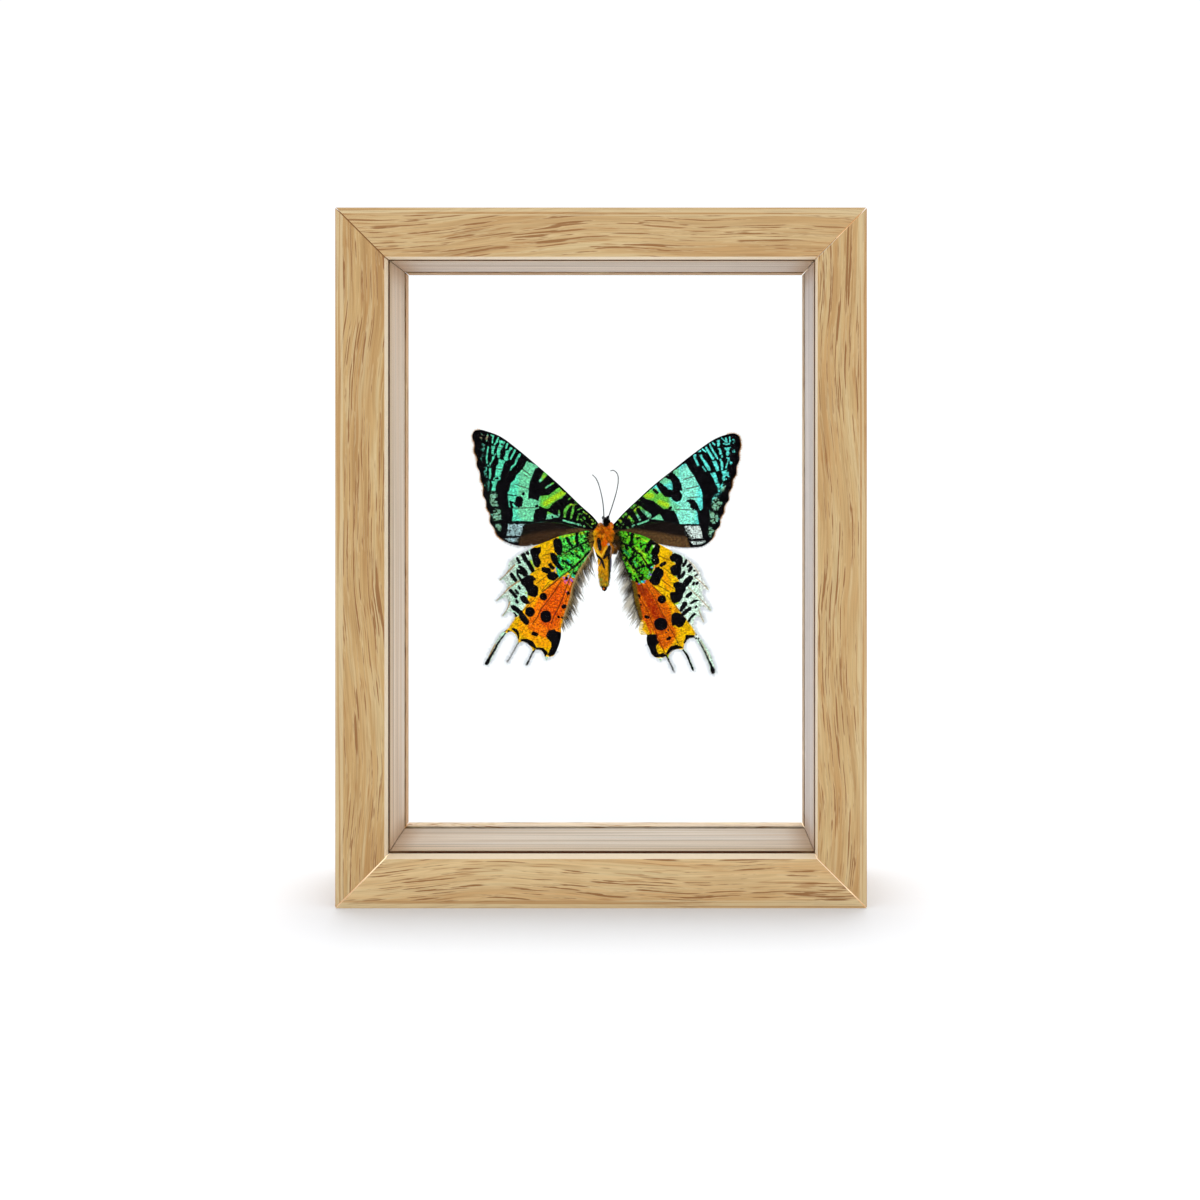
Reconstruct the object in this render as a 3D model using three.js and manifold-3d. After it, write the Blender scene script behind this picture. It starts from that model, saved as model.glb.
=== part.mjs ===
import * as THREE from "three";
import { mergeVertices } from "three/addons/utils/BufferGeometryUtils.js";
import Module from "manifold-3d";

// A sunset moth, underside forward, held between two panes of glass in a standing oak frame.
// Millimetres: +X right, +Y away from the viewer, +Z up, origin under the middle of the frame.

// Driving dimensions of the frame
const openingWidth = 128;
const openingHeight = 178;
const railFace = 14.6;
const frameDepth = 38;
const frontLip = 5.2;
const backLip = 4.6;
const paneThickness = 2;
const sideWall = 8;
const fit = 0.15;

const outerWidth = openingWidth + 2 * railFace;
const outerHeight = openingHeight + 2 * railFace;
const frontFace = -frameDepth / 2;
const backFace = frameDepth / 2;
const lipBack = frontFace + frontLip;
const chamberFront = lipBack + paneThickness + 2 * fit;
const stopFront = backFace - backLip;
const chamberBack = stopFront - paneThickness - 2 * fit;

// Driving dimensions of the moth. Its own places are written [u, v] in the plane of its wings,
// u to the right and v up from the middle of the thorax, and depth is the world's Y.
const mothHeight = 107.1;
const wingThickness = 0.5;
const wingGrid = 4.5;
const hingeGap = 0.3;
const antennaRadius = 0.22;
const forewingDepth = 10.2;
const hindwingDepth = 9.25;
const thorax = { centre: [-0.2, 7.4, 1.8], radii: [3.7, 3.8, 3.4] };
const glueRadius = 2.1;

const oak = new THREE.MeshStandardMaterial({ color: 0xc8a570, roughness: 0.6 });
const paleWood = new THREE.MeshStandardMaterial({ color: 0xd0bfae, roughness: 0.7 });
const glass = new THREE.MeshStandardMaterial({
  color: 0xf4faf8,
  roughness: 0.02,
  transparent: true,
  opacity: 0.15,
});
const forewingScales = new THREE.MeshStandardMaterial({ color: 0x3f8f7c, roughness: 0.6 });
const hindwingScales = new THREE.MeshStandardMaterial({ color: 0xe58a1c, roughness: 0.6 });
const bodyHair = new THREE.MeshStandardMaterial({ color: 0xd98518, roughness: 0.9 });
const antennaGrey = new THREE.MeshStandardMaterial({ color: 0x8a8a88, roughness: 0.7 });
const glue = new THREE.MeshStandardMaterial({ color: 0xf3ecd8, roughness: 0.2 });

const wasm = await Module();
wasm.setup();

function toSolid(geometry) {
  const bare = geometry.clone();
  bare.deleteAttribute("normal");
  bare.deleteAttribute("uv");
  const merged = mergeVertices(bare, 1e-4);
  return new wasm.Manifold(
    new wasm.Mesh({
      numProp: 3,
      vertProperties: merged.getAttribute("position").array,
      triVerts: new Uint32Array(merged.index.array),
    }),
  );
}

function toGeometry(solid) {
  const mesh = solid.getMesh();
  const geometry = new THREE.BufferGeometry();
  geometry.setAttribute("position", new THREE.BufferAttribute(mesh.vertProperties, 3));
  geometry.setIndex(new THREE.BufferAttribute(mesh.triVerts, 1));
  return geometry.toNonIndexed();
}

function addMesh(parent, name, geometry, material) {
  geometry.computeVertexNormals();
  const mesh = new THREE.Mesh(geometry, material);
  mesh.name = name;
  parent.add(mesh);
  return mesh;
}

// A bar with 45 degree ends. Its section is drawn as [distance in from the frame's edge, y].
function mitredBar(section, outerLength) {
  const shape = new THREE.Shape(section.map(([inset, y]) => new THREE.Vector2(inset, y)));
  const geometry = new THREE.ExtrudeGeometry(shape, { depth: outerLength, bevelEnabled: false });
  geometry.translate(0, 0, -outerLength / 2);
  const position = geometry.getAttribute("position");
  for (let i = 0; i < position.count; i++) {
    const along = position.getZ(i);
    position.setZ(i, along - Math.sign(along) * (position.getX(i) + fit));
  }
  return geometry;
}

// The rail has a lip over the front pane and a side wall that reaches the back.
const railSection = [
  [0, frontFace],
  [railFace, frontFace],
  [railFace, lipBack],
  [sideWall, lipBack],
  [sideWall, backFace],
  [0, backFace],
];

// The spacer stands between the panes and lines the chamber.
const spacerSection = [
  [sideWall + fit, chamberFront],
  [railFace, chamberFront],
  [railFace, chamberBack],
  [sideWall + fit, chamberBack],
];

// The stop is the lip behind the back pane.
const stopSection = [
  [sideWall + fit, stopFront],
  [railFace, stopFront],
  [railFace, backFace],
  [sideWall + fit, backFace],
];

const bars = [
  { prefix: "frame_rail", section: railSection, material: oak },
  { prefix: "spacer", section: spacerSection, material: paleWood },
  { prefix: "back_stop", section: stopSection, material: oak },
];

const sides = [
  { side: "left", length: outerHeight, x: -outerWidth / 2, z: outerHeight / 2, turn: 0 },
  { side: "right", length: outerHeight, x: outerWidth / 2, z: outerHeight / 2, turn: Math.PI },
  { side: "top", length: outerWidth, x: 0, z: outerHeight, turn: Math.PI / 2 },
  { side: "bottom", length: outerWidth, x: 0, z: 0, turn: -Math.PI / 2 },
];

function addFrame(parent) {
  for (const { prefix, section, material } of bars) {
    for (const { side, length, x, z, turn } of sides) {
      const bar = addMesh(parent, `${prefix}_${side}`, mitredBar(section, length), material);
      bar.position.set(x, 0, z);
      bar.rotation.y = turn;
    }
  }
}

function addPane(parent, name, front) {
  const clear = 2 * (sideWall + fit);
  const geometry = new THREE.BoxGeometry(outerWidth - clear, paneThickness, outerHeight - clear);
  const pane = addMesh(parent, name, geometry, glass);
  pane.position.set(0, front + paneThickness / 2, outerHeight / 2);
}

// Wing outlines run from the root along the leading edge to the tip and back along the margin.
const forewingLeftOutline = [
  [-1.5, 4.6], [-3.5, 7.2], [-7.7, 11], [-14.3, 17.4], [-22, 24.1], [-28.1, 29.2], [-33, 32.8],
  [-37, 34.4], [-39.5, 35], [-41.2, 34.6], [-42, 33], [-41.8, 30.5], [-41, 26], [-39.8, 20.5],
  [-38.4, 14], [-37.3, 10], [-36, 5.6], [-34.3, 3], [-33.5, 0.8], [-32, -0.3], [-29, -1.5],
  [-25, -2], [-21, -1.4], [-14, 0.2], [-6, 1.6], [-1.5, 2.2],
];

const forewingRightOutline = [
  [1.5, 3.8], [3.2, 5.3], [5.8, 8.2], [10, 12.2], [15, 16.8], [21.5, 22], [28.2, 27.3],
  [35, 32], [38.9, 33.5], [41.3, 33.8], [42.9, 32.8], [43.4, 30], [42.8, 26], [41.6, 21.2],
  [40.3, 17.5], [39.4, 13.8], [38.1, 9.6], [36.9, 5.4], [35.3, 2.4], [33.2, -0.8], [31.2, -2],
  [28.5, -2.4], [24, -2.4], [18, -1.4], [10, 1], [1.5, 2],
];

// The hindwings have three pointed lobes, three long tails and a short one along the margin.
const hindwingLeftOutline = [
  [-2, 1], [-5, 2.8], [-9.3, 2.2], [-14, 1.2], [-18.3, -0.5], [-22.5, -2.1], [-26.3, -4.2],
  [-29.6, -6], [-31.3, -7.3], [-32.4, -9.8], [-34.2, -12.2], [-34.3, -13.5], [-33.2, -13.8],
  [-32.2, -14.2], [-32.3, -15.4], [-34, -17.2], [-35.3, -19], [-35, -20], [-33.4, -19.9],
  [-32.2, -20.2], [-32.4, -21.8], [-33.3, -24], [-32.6, -24.9], [-31.5, -25.5], [-31.8, -27.4],
  [-33.4, -30.3], [-35.7, -33.2], [-37.4, -36.2], [-38.4, -39.1], [-37.6, -40], [-36.4, -39.2],
  [-34.6, -35.9], [-32.4, -31.9], [-30.9, -30.3], [-29.6, -29.9], [-28.5, -30.8],
  [-28.3, -32.6], [-29.9, -35.3], [-31.6, -38], [-32, -39.5], [-31.1, -39.9], [-29.6, -37.9],
  [-27.8, -34.9], [-26.6, -33.3], [-25.4, -33.5], [-24.5, -34.8], [-24.8, -37],
  [-25.6, -39.9], [-24.8, -40.6], [-23.9, -39.6], [-22.4, -36.6], [-21.4, -35.6],
  [-20.2, -36], [-19.3, -38], [-18.4, -38.8], [-17.4, -37.8], [-15.6, -36.2], [-14.2, -33.2],
  [-13.3, -30.4],
];

const hindwingRightOutline = [
  [2, 1], [5, 2.8], [8, 2.4], [12.7, 1.1], [17.2, -1.2], [21, -3.2], [25.3, -5.1],
  [29.8, -7.7], [31.6, -9.8], [32.2, -12], [34.1, -14.6], [34.3, -16.2], [33.3, -17.2],
  [32.7, -17.8], [33.9, -19.3], [34.9, -21.7], [34.7, -23.2], [33.6, -23.7], [32.3, -23.4],
  [32.4, -24.5], [33, -26.4], [32.4, -27.5], [30.9, -27.5], [30.7, -28.8], [32.5, -32.4],
  [33.9, -35.4], [35, -39.1], [35.5, -41.8], [34.5, -42.9], [33.4, -41.6], [31.9, -38.1],
  [30.4, -34.3], [29.1, -32.3], [27.2, -31.8], [26, -33], [26, -34.7], [27.4, -36.7],
  [28.8, -39.4], [29.2, -41.8], [28.2, -42.7], [27.1, -41.9], [26, -38.6], [24.9, -36],
  [23.7, -35.1], [22.2, -35.6], [21.6, -37.1], [22.4, -39.6], [23.1, -41.8], [22, -42.9],
  [21.1, -41.8], [20, -38.8], [19.3, -37.9], [18, -39], [16.6, -37.8], [14.8, -36.5],
  [13.9, -34.2], [13.2, -31.4],
];

// Tips of the hair locks that fringe each hindwing's inner margin, from the tails to the root.
const fringeTipsLeft = [
  [-12.3, -29.6], [-10.2, -26.6], [-8.5, -24.3], [-7.4, -20.9], [-6.1, -17.5], [-5.6, -14.7],
  [-4.5, -12.8], [-3.3, -10.8], [-3, -8], [-2.8, -5.4],
];

const fringeTipsRight = [
  [11, -29.9], [9.8, -28], [8.3, -26], [6.8, -23.6], [5.8, -21.8], [5.1, -19.3], [4.6, -16.9],
  [4.3, -14.2], [3.8, -11.5], [3.2, -8.9], [2.9, -6.6], [3.2, -4.4],
];

// Sharp hair locks: each tip is followed by a notch cut back towards the wing.
function lockedFringe(tips, outward) {
  const notchBack = 1.3;
  const fringe = [];
  for (let i = 0; i < tips.length - 1; i++) {
    const [u, v] = tips[i];
    const [nextU, nextV] = tips[i + 1];
    fringe.push([u, v]);
    fringe.push([(u + nextU) / 2 + outward * notchBack, (v + nextV) / 2 + notchBack / 2]);
  }
  fringe.push(tips[tips.length - 1]);
  return fringe;
}

function smoothOutline(points, perPoint) {
  const knots = points.map(([u, v]) => new THREE.Vector3(u, v, 0));
  const curve = new THREE.CatmullRomCurve3(knots, false, "centripetal");
  const smooth = curve.getPoints((knots.length - 1) * perPoint);
  return smooth.map((p) => new THREE.Vector2(p.x, p.y));
}

// Wings bow forward a little from the root to the tip, and the hindwings lie in front.
function forewingY(u) {
  return forewingDepth - 0.9 * (u / 43) ** 2;
}

function hindwingY(u, v) {
  return hindwingDepth - 0.6 * (Math.hypot(u, v) / 50) ** 2;
}

function sheetUnder(outline, depthAt) {
  const box = new THREE.Box2().setFromPoints(outline);
  const size = box.getSize(new THREE.Vector2()).addScalar(2);
  const middle = box.getCenter(new THREE.Vector2());
  const sheet = new THREE.BoxGeometry(
    size.x,
    wingThickness,
    size.y,
    Math.ceil(size.x / wingGrid),
    1,
    Math.ceil(size.y / wingGrid),
  );
  sheet.translate(middle.x, 0, middle.y);
  const position = sheet.getAttribute("position");
  for (let i = 0; i < position.count; i++) {
    const y = position.getY(i) + depthAt(position.getX(i), position.getZ(i));
    position.setY(i, y);
  }
  return sheet;
}

function wingGeometry(outline, depthAt) {
  const reach = 12;
  const prism = new THREE.ExtrudeGeometry(new THREE.Shape(outline), {
    depth: reach,
    bevelEnabled: false,
  });
  prism.rotateX(Math.PI / 2);
  prism.translate(0, forewingDepth + reach / 2, 0);
  const wing = toSolid(prism).intersect(toSolid(sheetUnder(outline, depthAt)));
  const clearance = ellipsoid(
    thorax.centre,
    thorax.radii.map((radius) => radius + hingeGap),
  );
  return toGeometry(wing.subtract(clearance));
}

function addWings(parent) {
  const margin = 2;
  const hindLeft = smoothOutline(hindwingLeftOutline, margin);
  const hindRight = smoothOutline(hindwingRightOutline, margin);
  for (const [u, v] of lockedFringe(fringeTipsLeft, -1)) hindLeft.push(new THREE.Vector2(u, v));
  for (const [u, v] of lockedFringe(fringeTipsRight, 1)) hindRight.push(new THREE.Vector2(u, v));
  const wings = [
    ["forewing_left", smoothOutline(forewingLeftOutline, margin), forewingY, forewingScales],
    ["forewing_right", smoothOutline(forewingRightOutline, margin), forewingY, forewingScales],
    ["hindwing_left", hindLeft, hindwingY, hindwingScales],
    ["hindwing_right", hindRight, hindwingY, hindwingScales],
  ];
  for (const [name, outline, depthAt, material] of wings) {
    addMesh(parent, name, wingGeometry(outline, depthAt), material);
  }
}

function ellipsoid(centre, radii, segments = 20) {
  const sphere = new THREE.SphereGeometry(1, segments, Math.ceil(segments * 0.7));
  sphere.scale(...radii);
  sphere.translate(...centre);
  return toSolid(sphere);
}

// A rod along a smooth line through points given as [u, depth, v].
function rod(points, radius, sides, steps) {
  const section = new THREE.Shape();
  section.absarc(0, 0, radius, 0, 2 * Math.PI);
  return new THREE.ExtrudeGeometry(section, {
    steps,
    curveSegments: sides,
    extrudePath: new THREE.CatmullRomCurve3(points.map((p) => new THREE.Vector3(...p))),
  });
}

// Abdomen profile as [radius, v], from the tip up into the thorax.
const abdomenProfile = [
  [0, -16.3], [0.45, -15.9], [0.9, -14.8], [1.4, -13.2], [1.75, -11], [1.9, -8], [1.95, -4],
  [1.7, -0.5], [0, 0.5],
];

function abdomen() {
  const profile = abdomenProfile.map(([radius, v]) => new THREE.Vector2(radius, v));
  const solid = new THREE.LatheGeometry(profile, 16);
  solid.rotateX(Math.PI / 2);
  solid.translate(0, thorax.centre[1] + 0.4, 0);
  return toSolid(solid);
}

// The six legs lie folded on the underside, each from its hip to its foot as [u, depth, v].
const legs = [
  [[-1.9, 5.2, 0.6], [-1.8, 3.7, -0.6], [-1.3, 4, -3.1]],
  [[-2.6, 5.8, 0.2], [-2.9, 4.6, -1.4], [-2, 4.2, -3.6], [-1, 4.6, -5]],
  [[0.9, 5.2, -0.2], [0.9, 4, -1.8], [0.1, 4.1, -3.6], [-0.8, 4.6, -5.1]],
  [[-2.1, 6.4, -0.4], [-2.6, 5.2, -3.8], [-1.7, 4.9, -5.6], [-0.2, 5.4, -8.9]],
  [[1.6, 5.6, 0.2], [1.7, 4.1, -1.4], [1, 3.7, -3], [0.1, 3.8, -4.6]],
  [[1.5, 6.4, -0.4], [2.1, 5.3, -2.6], [2.2, 5.6, -6], [2, 6.2, -9.2]],
];

// Head, eyes and palps as [centre, radii].
const headParts = [
  [[0.55, 6.7, 5.7], [1.35, 1.5, 1.6]],
  [[-0.5, 6.3, 5.8], [0.7, 0.9, 0.9]],
  [[1.6, 6.3, 5.8], [0.7, 0.9, 0.9]],
  [[-0.15, 6.2, 6.8], [0.35, 0.4, 0.6]],
  [[1.2, 6.2, 6.8], [0.35, 0.4, 0.6]],
];

function bodyGeometry() {
  const legRadius = 0.34;
  let body = ellipsoid(thorax.centre, thorax.radii);
  for (const [centre, radii] of headParts) body = body.add(ellipsoid(centre, radii, 12));
  body = body.add(abdomen());
  for (const leg of legs) body = body.add(toSolid(rod(leg, legRadius, 4, 9)));
  return toGeometry(body);
}

const antennae = {
  left: [[-0.1, 7.2, 7.7], [-0.8, 6.8, 13.7], [-2, 7, 18.1], [-3.8, 7.4, 20.6]],
  right: [
    [1.1, 7.2, 7.7], [2.5, 6.9, 10.7], [3.9, 6.8, 15.5], [4.4, 7, 18.8], [3.7, 7.2, 21.4],
    [1.9, 7.4, 21.8],
  ],
};

function addMoth(parent) {
  addWings(parent);
  addMesh(parent, "moth_body", bodyGeometry(), bodyHair);
  for (const [side, points] of Object.entries(antennae)) {
    addMesh(parent, `antenna_${side}`, rod(points, antennaRadius, 3, 18), antennaGrey);
  }
}

// A flat dot of clear glue fills the space between the moth's back and the back pane.
function addGlueDot(parent) {
  const front = thorax.centre[1] + thorax.radii[1] + fit;
  const back = chamberBack;
  const rim = (front + back) / 2;
  const profile = [
    [0, front], [glueRadius * 0.7, front], [glueRadius, rim], [glueRadius, back], [0, back],
  ].map(([radius, y]) => new THREE.Vector2(radius, y));
  const dot = addMesh(parent, "glue_dot", new THREE.LatheGeometry(profile, 18), glue);
  dot.position.set(thorax.centre[0], 0, thorax.centre[2]);
}

const specimen = new THREE.Group();
addFrame(specimen);
addPane(specimen, "glass_front", lipBack + fit);
addPane(specimen, "glass_back", chamberBack + fit);

const moth = new THREE.Group();
moth.position.z = mothHeight;
addMoth(moth);
addGlueDot(moth);
specimen.add(moth);

export default specimen;
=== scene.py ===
"""A sunset moth, underside forward, between two panes of glass in a standing oak frame."""

import math

import bpy
import numpy as np
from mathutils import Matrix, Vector
from mathutils.geometry import delaunay_2d_cdt


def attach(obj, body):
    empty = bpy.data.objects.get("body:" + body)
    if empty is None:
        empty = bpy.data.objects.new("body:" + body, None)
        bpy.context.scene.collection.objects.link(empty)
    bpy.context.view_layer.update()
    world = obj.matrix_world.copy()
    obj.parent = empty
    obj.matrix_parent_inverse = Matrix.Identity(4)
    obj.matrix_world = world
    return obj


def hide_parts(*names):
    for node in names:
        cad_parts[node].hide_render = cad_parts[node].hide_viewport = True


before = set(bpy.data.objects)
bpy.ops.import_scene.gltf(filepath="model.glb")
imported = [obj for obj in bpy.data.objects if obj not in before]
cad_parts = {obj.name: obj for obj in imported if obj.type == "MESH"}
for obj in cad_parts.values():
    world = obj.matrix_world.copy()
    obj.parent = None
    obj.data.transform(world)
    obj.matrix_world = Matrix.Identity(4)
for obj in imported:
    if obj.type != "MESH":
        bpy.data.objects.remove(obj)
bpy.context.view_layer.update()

# The frame, in metres
MM = 0.001
OUTER_WIDTH = 157.2 * MM
OUTER_HEIGHT = 207.2 * MM
RAIL_FACE = 14.6
STRIP_WIDTH = 2.9
SWEEP_REACH = 15.0
WAVE_REACH = 1.6
JOINT_GLOW = 0.45
GLASS_IOR = 1.06
GLASS_TINT = (0.992, 0.998, 0.995, 1)

# The moth. Its places are [u, v] in millimetres from the middle of the thorax.
MOTH_HEIGHT = 107.1
FOREWING_DEPTH = 10.2
HINDWING_DEPTH = 9.25
WING_HALF = 0.08
WING_GRID = 0.23
VEIN_RELIEF = 0.07
PLEAT_RELIEF = 0.1
PLEAT_RATE = 34
SEED = 7

# How ragged the markings' edges are, in millimetres, and how the upper side differs
EDGE_WOBBLE = 0.6
EDGE_BULGE = 0.3
EDGE_SOFTNESS = 0.08
SPECK_SCATTER = 2.0
UPPER_SIDE_SATURATION = 1.05
UPPER_SIDE_LIGHT = 0.72

# Colours as sRGB, 0 to 255
BLACK = (6, 4, 8)
PALE_TURQUOISE = (140, 240, 214)
SEA_GREEN = (116, 216, 166)
DIM_TEAL = (60, 134, 116)
DULL_TAN = (150, 138, 108)
LEAF = (104, 200, 70)
LIME = (170, 216, 34)
GREEN = (80, 226, 72)
TEAL = (40, 190, 120)
CYAN = (40, 196, 222)
BLUE = (40, 100, 226)
VIOLET = (140, 90, 232)
MAGENTA = (214, 60, 120)
YELLOW = (244, 190, 4)
GOLD = (226, 168, 6)
AMBER = (246, 162, 4)
MARIGOLD = (236, 170, 8)
ORANGE = (242, 116, 8)
RED_ORANGE = (228, 88, 8)
DARK_RED = (110, 16, 4)
MINT = (184, 226, 202)
PALE_MINT = (216, 246, 226)
SAGE = (196, 214, 202)
PATCH_GREEN = (130, 190, 158)
CREAM = (232, 238, 232)
TAN = (168, 124, 64)
GREY_BLUE = (156, 190, 194)
PALE_GREY = (206, 222, 216)
NEAR_BLACK = (22, 14, 12)
BROWN = (60, 40, 24)
WARM_BROWN = (92, 66, 38)
OLIVE = (112, 90, 32)
EDGE_BROWN = (112, 74, 34)
BURNT_ORANGE = (216, 98, 4)
RUST = (180, 58, 2)
EMBER = (208, 82, 6)
PALE_YELLOW = (244, 222, 160)
GRASS = (88, 200, 30)
DEEP_TEAL = (24, 150, 80)
PALE_GREEN = (110, 210, 130)
YELLOW_GREEN = (160, 226, 40)
PALE_LIME = (232, 240, 190)
DARK_OLIVE = (46, 52, 12)
BRICK = (150, 46, 4)
DARK_GOLD = (104, 78, 16)
SPRING_GREEN = (132, 236, 130)
SAND = (214, 170, 98)
VEIN_TONE = (66, 24, 8)
FLECK_TONE = (18, 24, 8)
BLACK_SHEEN = (16, 13, 20)

# Tones of the wood and the glue, and the painted light and shade on the wood
PALE_GRAIN = (214, 192, 146)
# A painted highlight round each pore
PORE_HIGHLIGHT = (222, 198, 152)
SHORT_PORE = (166, 116, 66)
LONG_PORE = (146, 100, 56)
STRIP_LIGHT = (216, 194, 150)
STRIP_DARK = (184, 142, 92)
OUTER_LINE = (190, 138, 82)
# Painted light on the inner side of the front lip
LIT_LIP_SIDE = (236, 216, 186)
# Painted shade in the slots where the panes' edges sit
SLOT_SHADE = (104, 66, 44)
# A painted highlight along the mitre line
JOINT_HIGHLIGHT = (244, 234, 212)
JOINT_MIDDLE = (190, 150, 100)
JOINT_DARK = (134, 92, 52)
WALL_PALE = (250, 242, 236)
WALL_FRONT = (214, 180, 130)
# Painted shade near the walls' inner corners
WALL_CORNER_SHADE = (190, 152, 112)
GLUE_LIGHT = (238, 230, 208)
GLUE_DARK = (222, 206, 170)


def line(radius, *points):
    """A stroke of one width through points."""
    return [(u, v, radius) for u, v in points]


def dot(radius, u, v):
    return [(u, v, radius)]


def linear(colour):
    """sRGB, 0 to 255, as linear light."""
    c = np.array(colour, float) / 255
    return np.where(c <= 0.04045, c / 12.92, ((c + 0.055) / 1.055) ** 2.4)


def rgba(colour):
    return (*linear(colour), 1.0)


# Wing outlines. A patch is a closed line of [u, v]; a stroke is a line of [u, v, radius].
FOREWING_LEFT = [
    (-1.5, 4.6), (-3.5, 7.2), (-7.7, 11), (-14.3, 17.4), (-22, 24.1), (-28.1, 29.2), (-33, 32.8),
    (-37, 34.4), (-39.5, 35), (-41.2, 34.6), (-42, 33), (-41.4, 30.4), (-41.5, 28), (-40.6, 25.9),
    (-40.5, 23.6), (-39.5, 21.4), (-39.4, 19), (-38.6, 17), (-38.6, 14.5), (-37.6, 12.3),
    (-37.5, 10), (-36.4, 8), (-36.3, 5.5), (-35, 3.6), (-34.5, 1.7), (-33.3, 0.5), (-32, -0.3),
    (-29, -1.5), (-25, -2), (-21, -1.4), (-14, 0.2), (-6, 1.6), (-1.5, 2.2),
]
FOREWING_RIGHT = [
    (1.5, 3.8), (3.2, 5.3), (5.8, 8.2), (10, 12.2), (15, 16.8), (21.5, 22), (28.2, 27.3),
    (35, 32), (38.9, 33.5), (41.3, 33.8), (42.9, 32.8), (43.5, 30), (42.9, 27.6), (42.9, 25.4),
    (42, 23.1), (42, 20.9), (40.9, 18.9), (40.7, 16.8), (39.6, 14.8), (39.5, 12.7), (38.3, 10.8),
    (38.1, 8.6), (36.9, 6.6), (36.7, 4.6), (35.4, 2.9), (34.8, 0.9), (33.2, -0.8), (31.2, -2),
    (28.5, -2.4), (24, -2.4), (18, -1.4), (10, 1), (1.5, 2),
]
HINDWING_LEFT = [
    (-2.2, 1.2), (-5, 2.8), (-9.3, 2.2), (-14, 1.2), (-18.3, -0.5), (-22.5, -2.1), (-25.3, -3.6),
    (-27.6, -5), (-29.2, -6.2), (-30.3, -7.3), (-30.6, -9.2), (-32, -11.2), (-33.4, -12.5),
    (-33.2, -12.9), (-32.2, -12.6), (-31.4, -13.3), (-31, -14.2), (-31.2, -15.6), (-32, -16.6),
    (-33.3, -18.1), (-34.5, -19.3), (-34.1, -19.5), (-32.8, -18.8), (-31.6, -18.4),
    (-30.9, -18.8), (-30.6, -19.8), (-30.6, -20.9), (-31, -22), (-31.9, -23.3), (-32.5, -24.1),
    (-32, -24.2), (-31.1, -23.4), (-30, -22.9), (-29.2, -23.1), (-28.7, -24), (-28.6, -24.8),
    (-29.2, -25.8), (-30.2, -27.4), (-31.5, -28.8), (-32.6, -29.4), (-33.9, -31.3),
    (-35.2, -33.6), (-36.4, -36), (-37.3, -38), (-37.9, -39.1), (-37.4, -39.7), (-36.5, -39.2),
    (-35.9, -38.1), (-34.9, -36.2), (-34, -34.4), (-32.9, -32.3), (-31.8, -30.6),
    (-30.9, -29.6), (-30.1, -29.1), (-29.3, -29.1), (-28.4, -29.8), (-27.8, -30.9), (-27.6, -32),
    (-28.1, -33.2), (-29.2, -35.4), (-30.4, -37.6), (-31.1, -38.6), (-30.9, -38.9),
    (-30.4, -38.6), (-29.1, -36.3), (-27.9, -34.3), (-27, -32.9), (-26.4, -32.5),
    (-25.4, -32.5), (-24.3, -33), (-23.4, -33.8), (-22.8, -34.8), (-23.3, -36.2),
    (-24.2, -38.1), (-25, -39.5), (-24.8, -39.9), (-24.3, -39.6), (-23.3, -37.6), (-22.5, -36),
    (-21.8, -35), (-21, -34.9), (-20.2, -35.2), (-19.5, -35.9), (-19.1, -36.8), (-18.6, -37.7),
    (-18.3, -38.2), (-18, -37.6), (-17.8, -37.1), (-16.9, -37), (-16, -36.6), (-15.2, -35.2),
    (-14.4, -33.3), (-13.8, -31), (-13.7, -29.5), (-13.7, -28), (-13.3, -26.5), (-12.9, -24.8),
    (-12.3, -22.9), (-11.2, -20), (-10.6, -17.2), (-10, -14.5), (-9.2, -12.3), (-8.1, -10),
    (-6.5, -7.7), (-5.4, -5.4), (-4.2, -3.3), (-3, -1),
]
HINDWING_RIGHT = [
    (2.2, 1.2), (5, 2.8), (8, 2.4), (12.7, 1.1), (17.2, -1.2), (21, -3.2), (23.5, -4.3),
    (25.5, -5.4), (27.6, -6.8), (29.2, -8.2), (30.3, -9.8), (30.8, -10.8), (31, -12),
    (31.9, -13.7), (33.1, -15.6), (32.9, -16.1), (32, -15.7), (31.3, -15.9), (31.2, -16.8),
    (31.6, -17.9), (32.4, -19.4), (33.8, -21.8), (33.8, -22.4), (33.1, -22.2), (31.9, -21.3),
    (30.9, -21), (30.4, -21.5), (31, -23.2), (31.7, -25.2), (31.7, -26.3), (31.2, -26.2),
    (30.4, -25), (29.6, -24.4), (28.9, -24.8), (28.4, -26), (28.4, -27.2), (28.9, -28.8),
    (29.6, -30), (30, -30.8), (30.8, -31.6), (32.1, -33.5), (33.5, -35.8), (34.4, -38.1),
    (35, -40), (35.3, -42), (34.4, -42.7), (33.6, -41.8), (33.1, -39.8), (31.9, -37.2),
    (30.8, -34.5), (29.2, -32), (28.7, -31.2), (27.5, -31.2), (26.6, -31.7), (25.9, -32.6),
    (25.3, -33.6), (25.2, -34.4), (25.9, -35.2), (26.8, -36.8), (27.7, -38.9), (28.5, -41),
    (28.2, -41.5), (27.8, -41.2), (27, -39.2), (26.1, -37.1), (25.2, -35.6), (24.6, -34.9),
    (23.6, -34.6), (22.5, -34.8), (21.5, -35.4), (20.8, -36.3), (20.6, -37.2), (20.9, -38.2),
    (21.7, -39.9), (22.4, -41.6), (22.2, -42.1), (21.8, -41.8), (21, -40.2), (20.1, -38.4),
    (19.4, -37.2), (18.8, -37.4), (18.3, -38), (17.9, -38.5), (17.5, -38), (17, -37.4),
    (16.2, -37.2), (15, -36.2), (14.4, -34.6), (13.6, -32.8), (13.4, -31.2), (13.5, -30.1),
    (11.7, -30.1), (10.9, -28.7), (11.3, -26), (10.5, -23.5), (9.7, -21), (9.1, -18),
    (8.5, -15), (8.1, -12.7), (7.1, -10.2), (6, -7.3), (4.8, -4.1), (3.4, -1.5),
]

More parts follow.
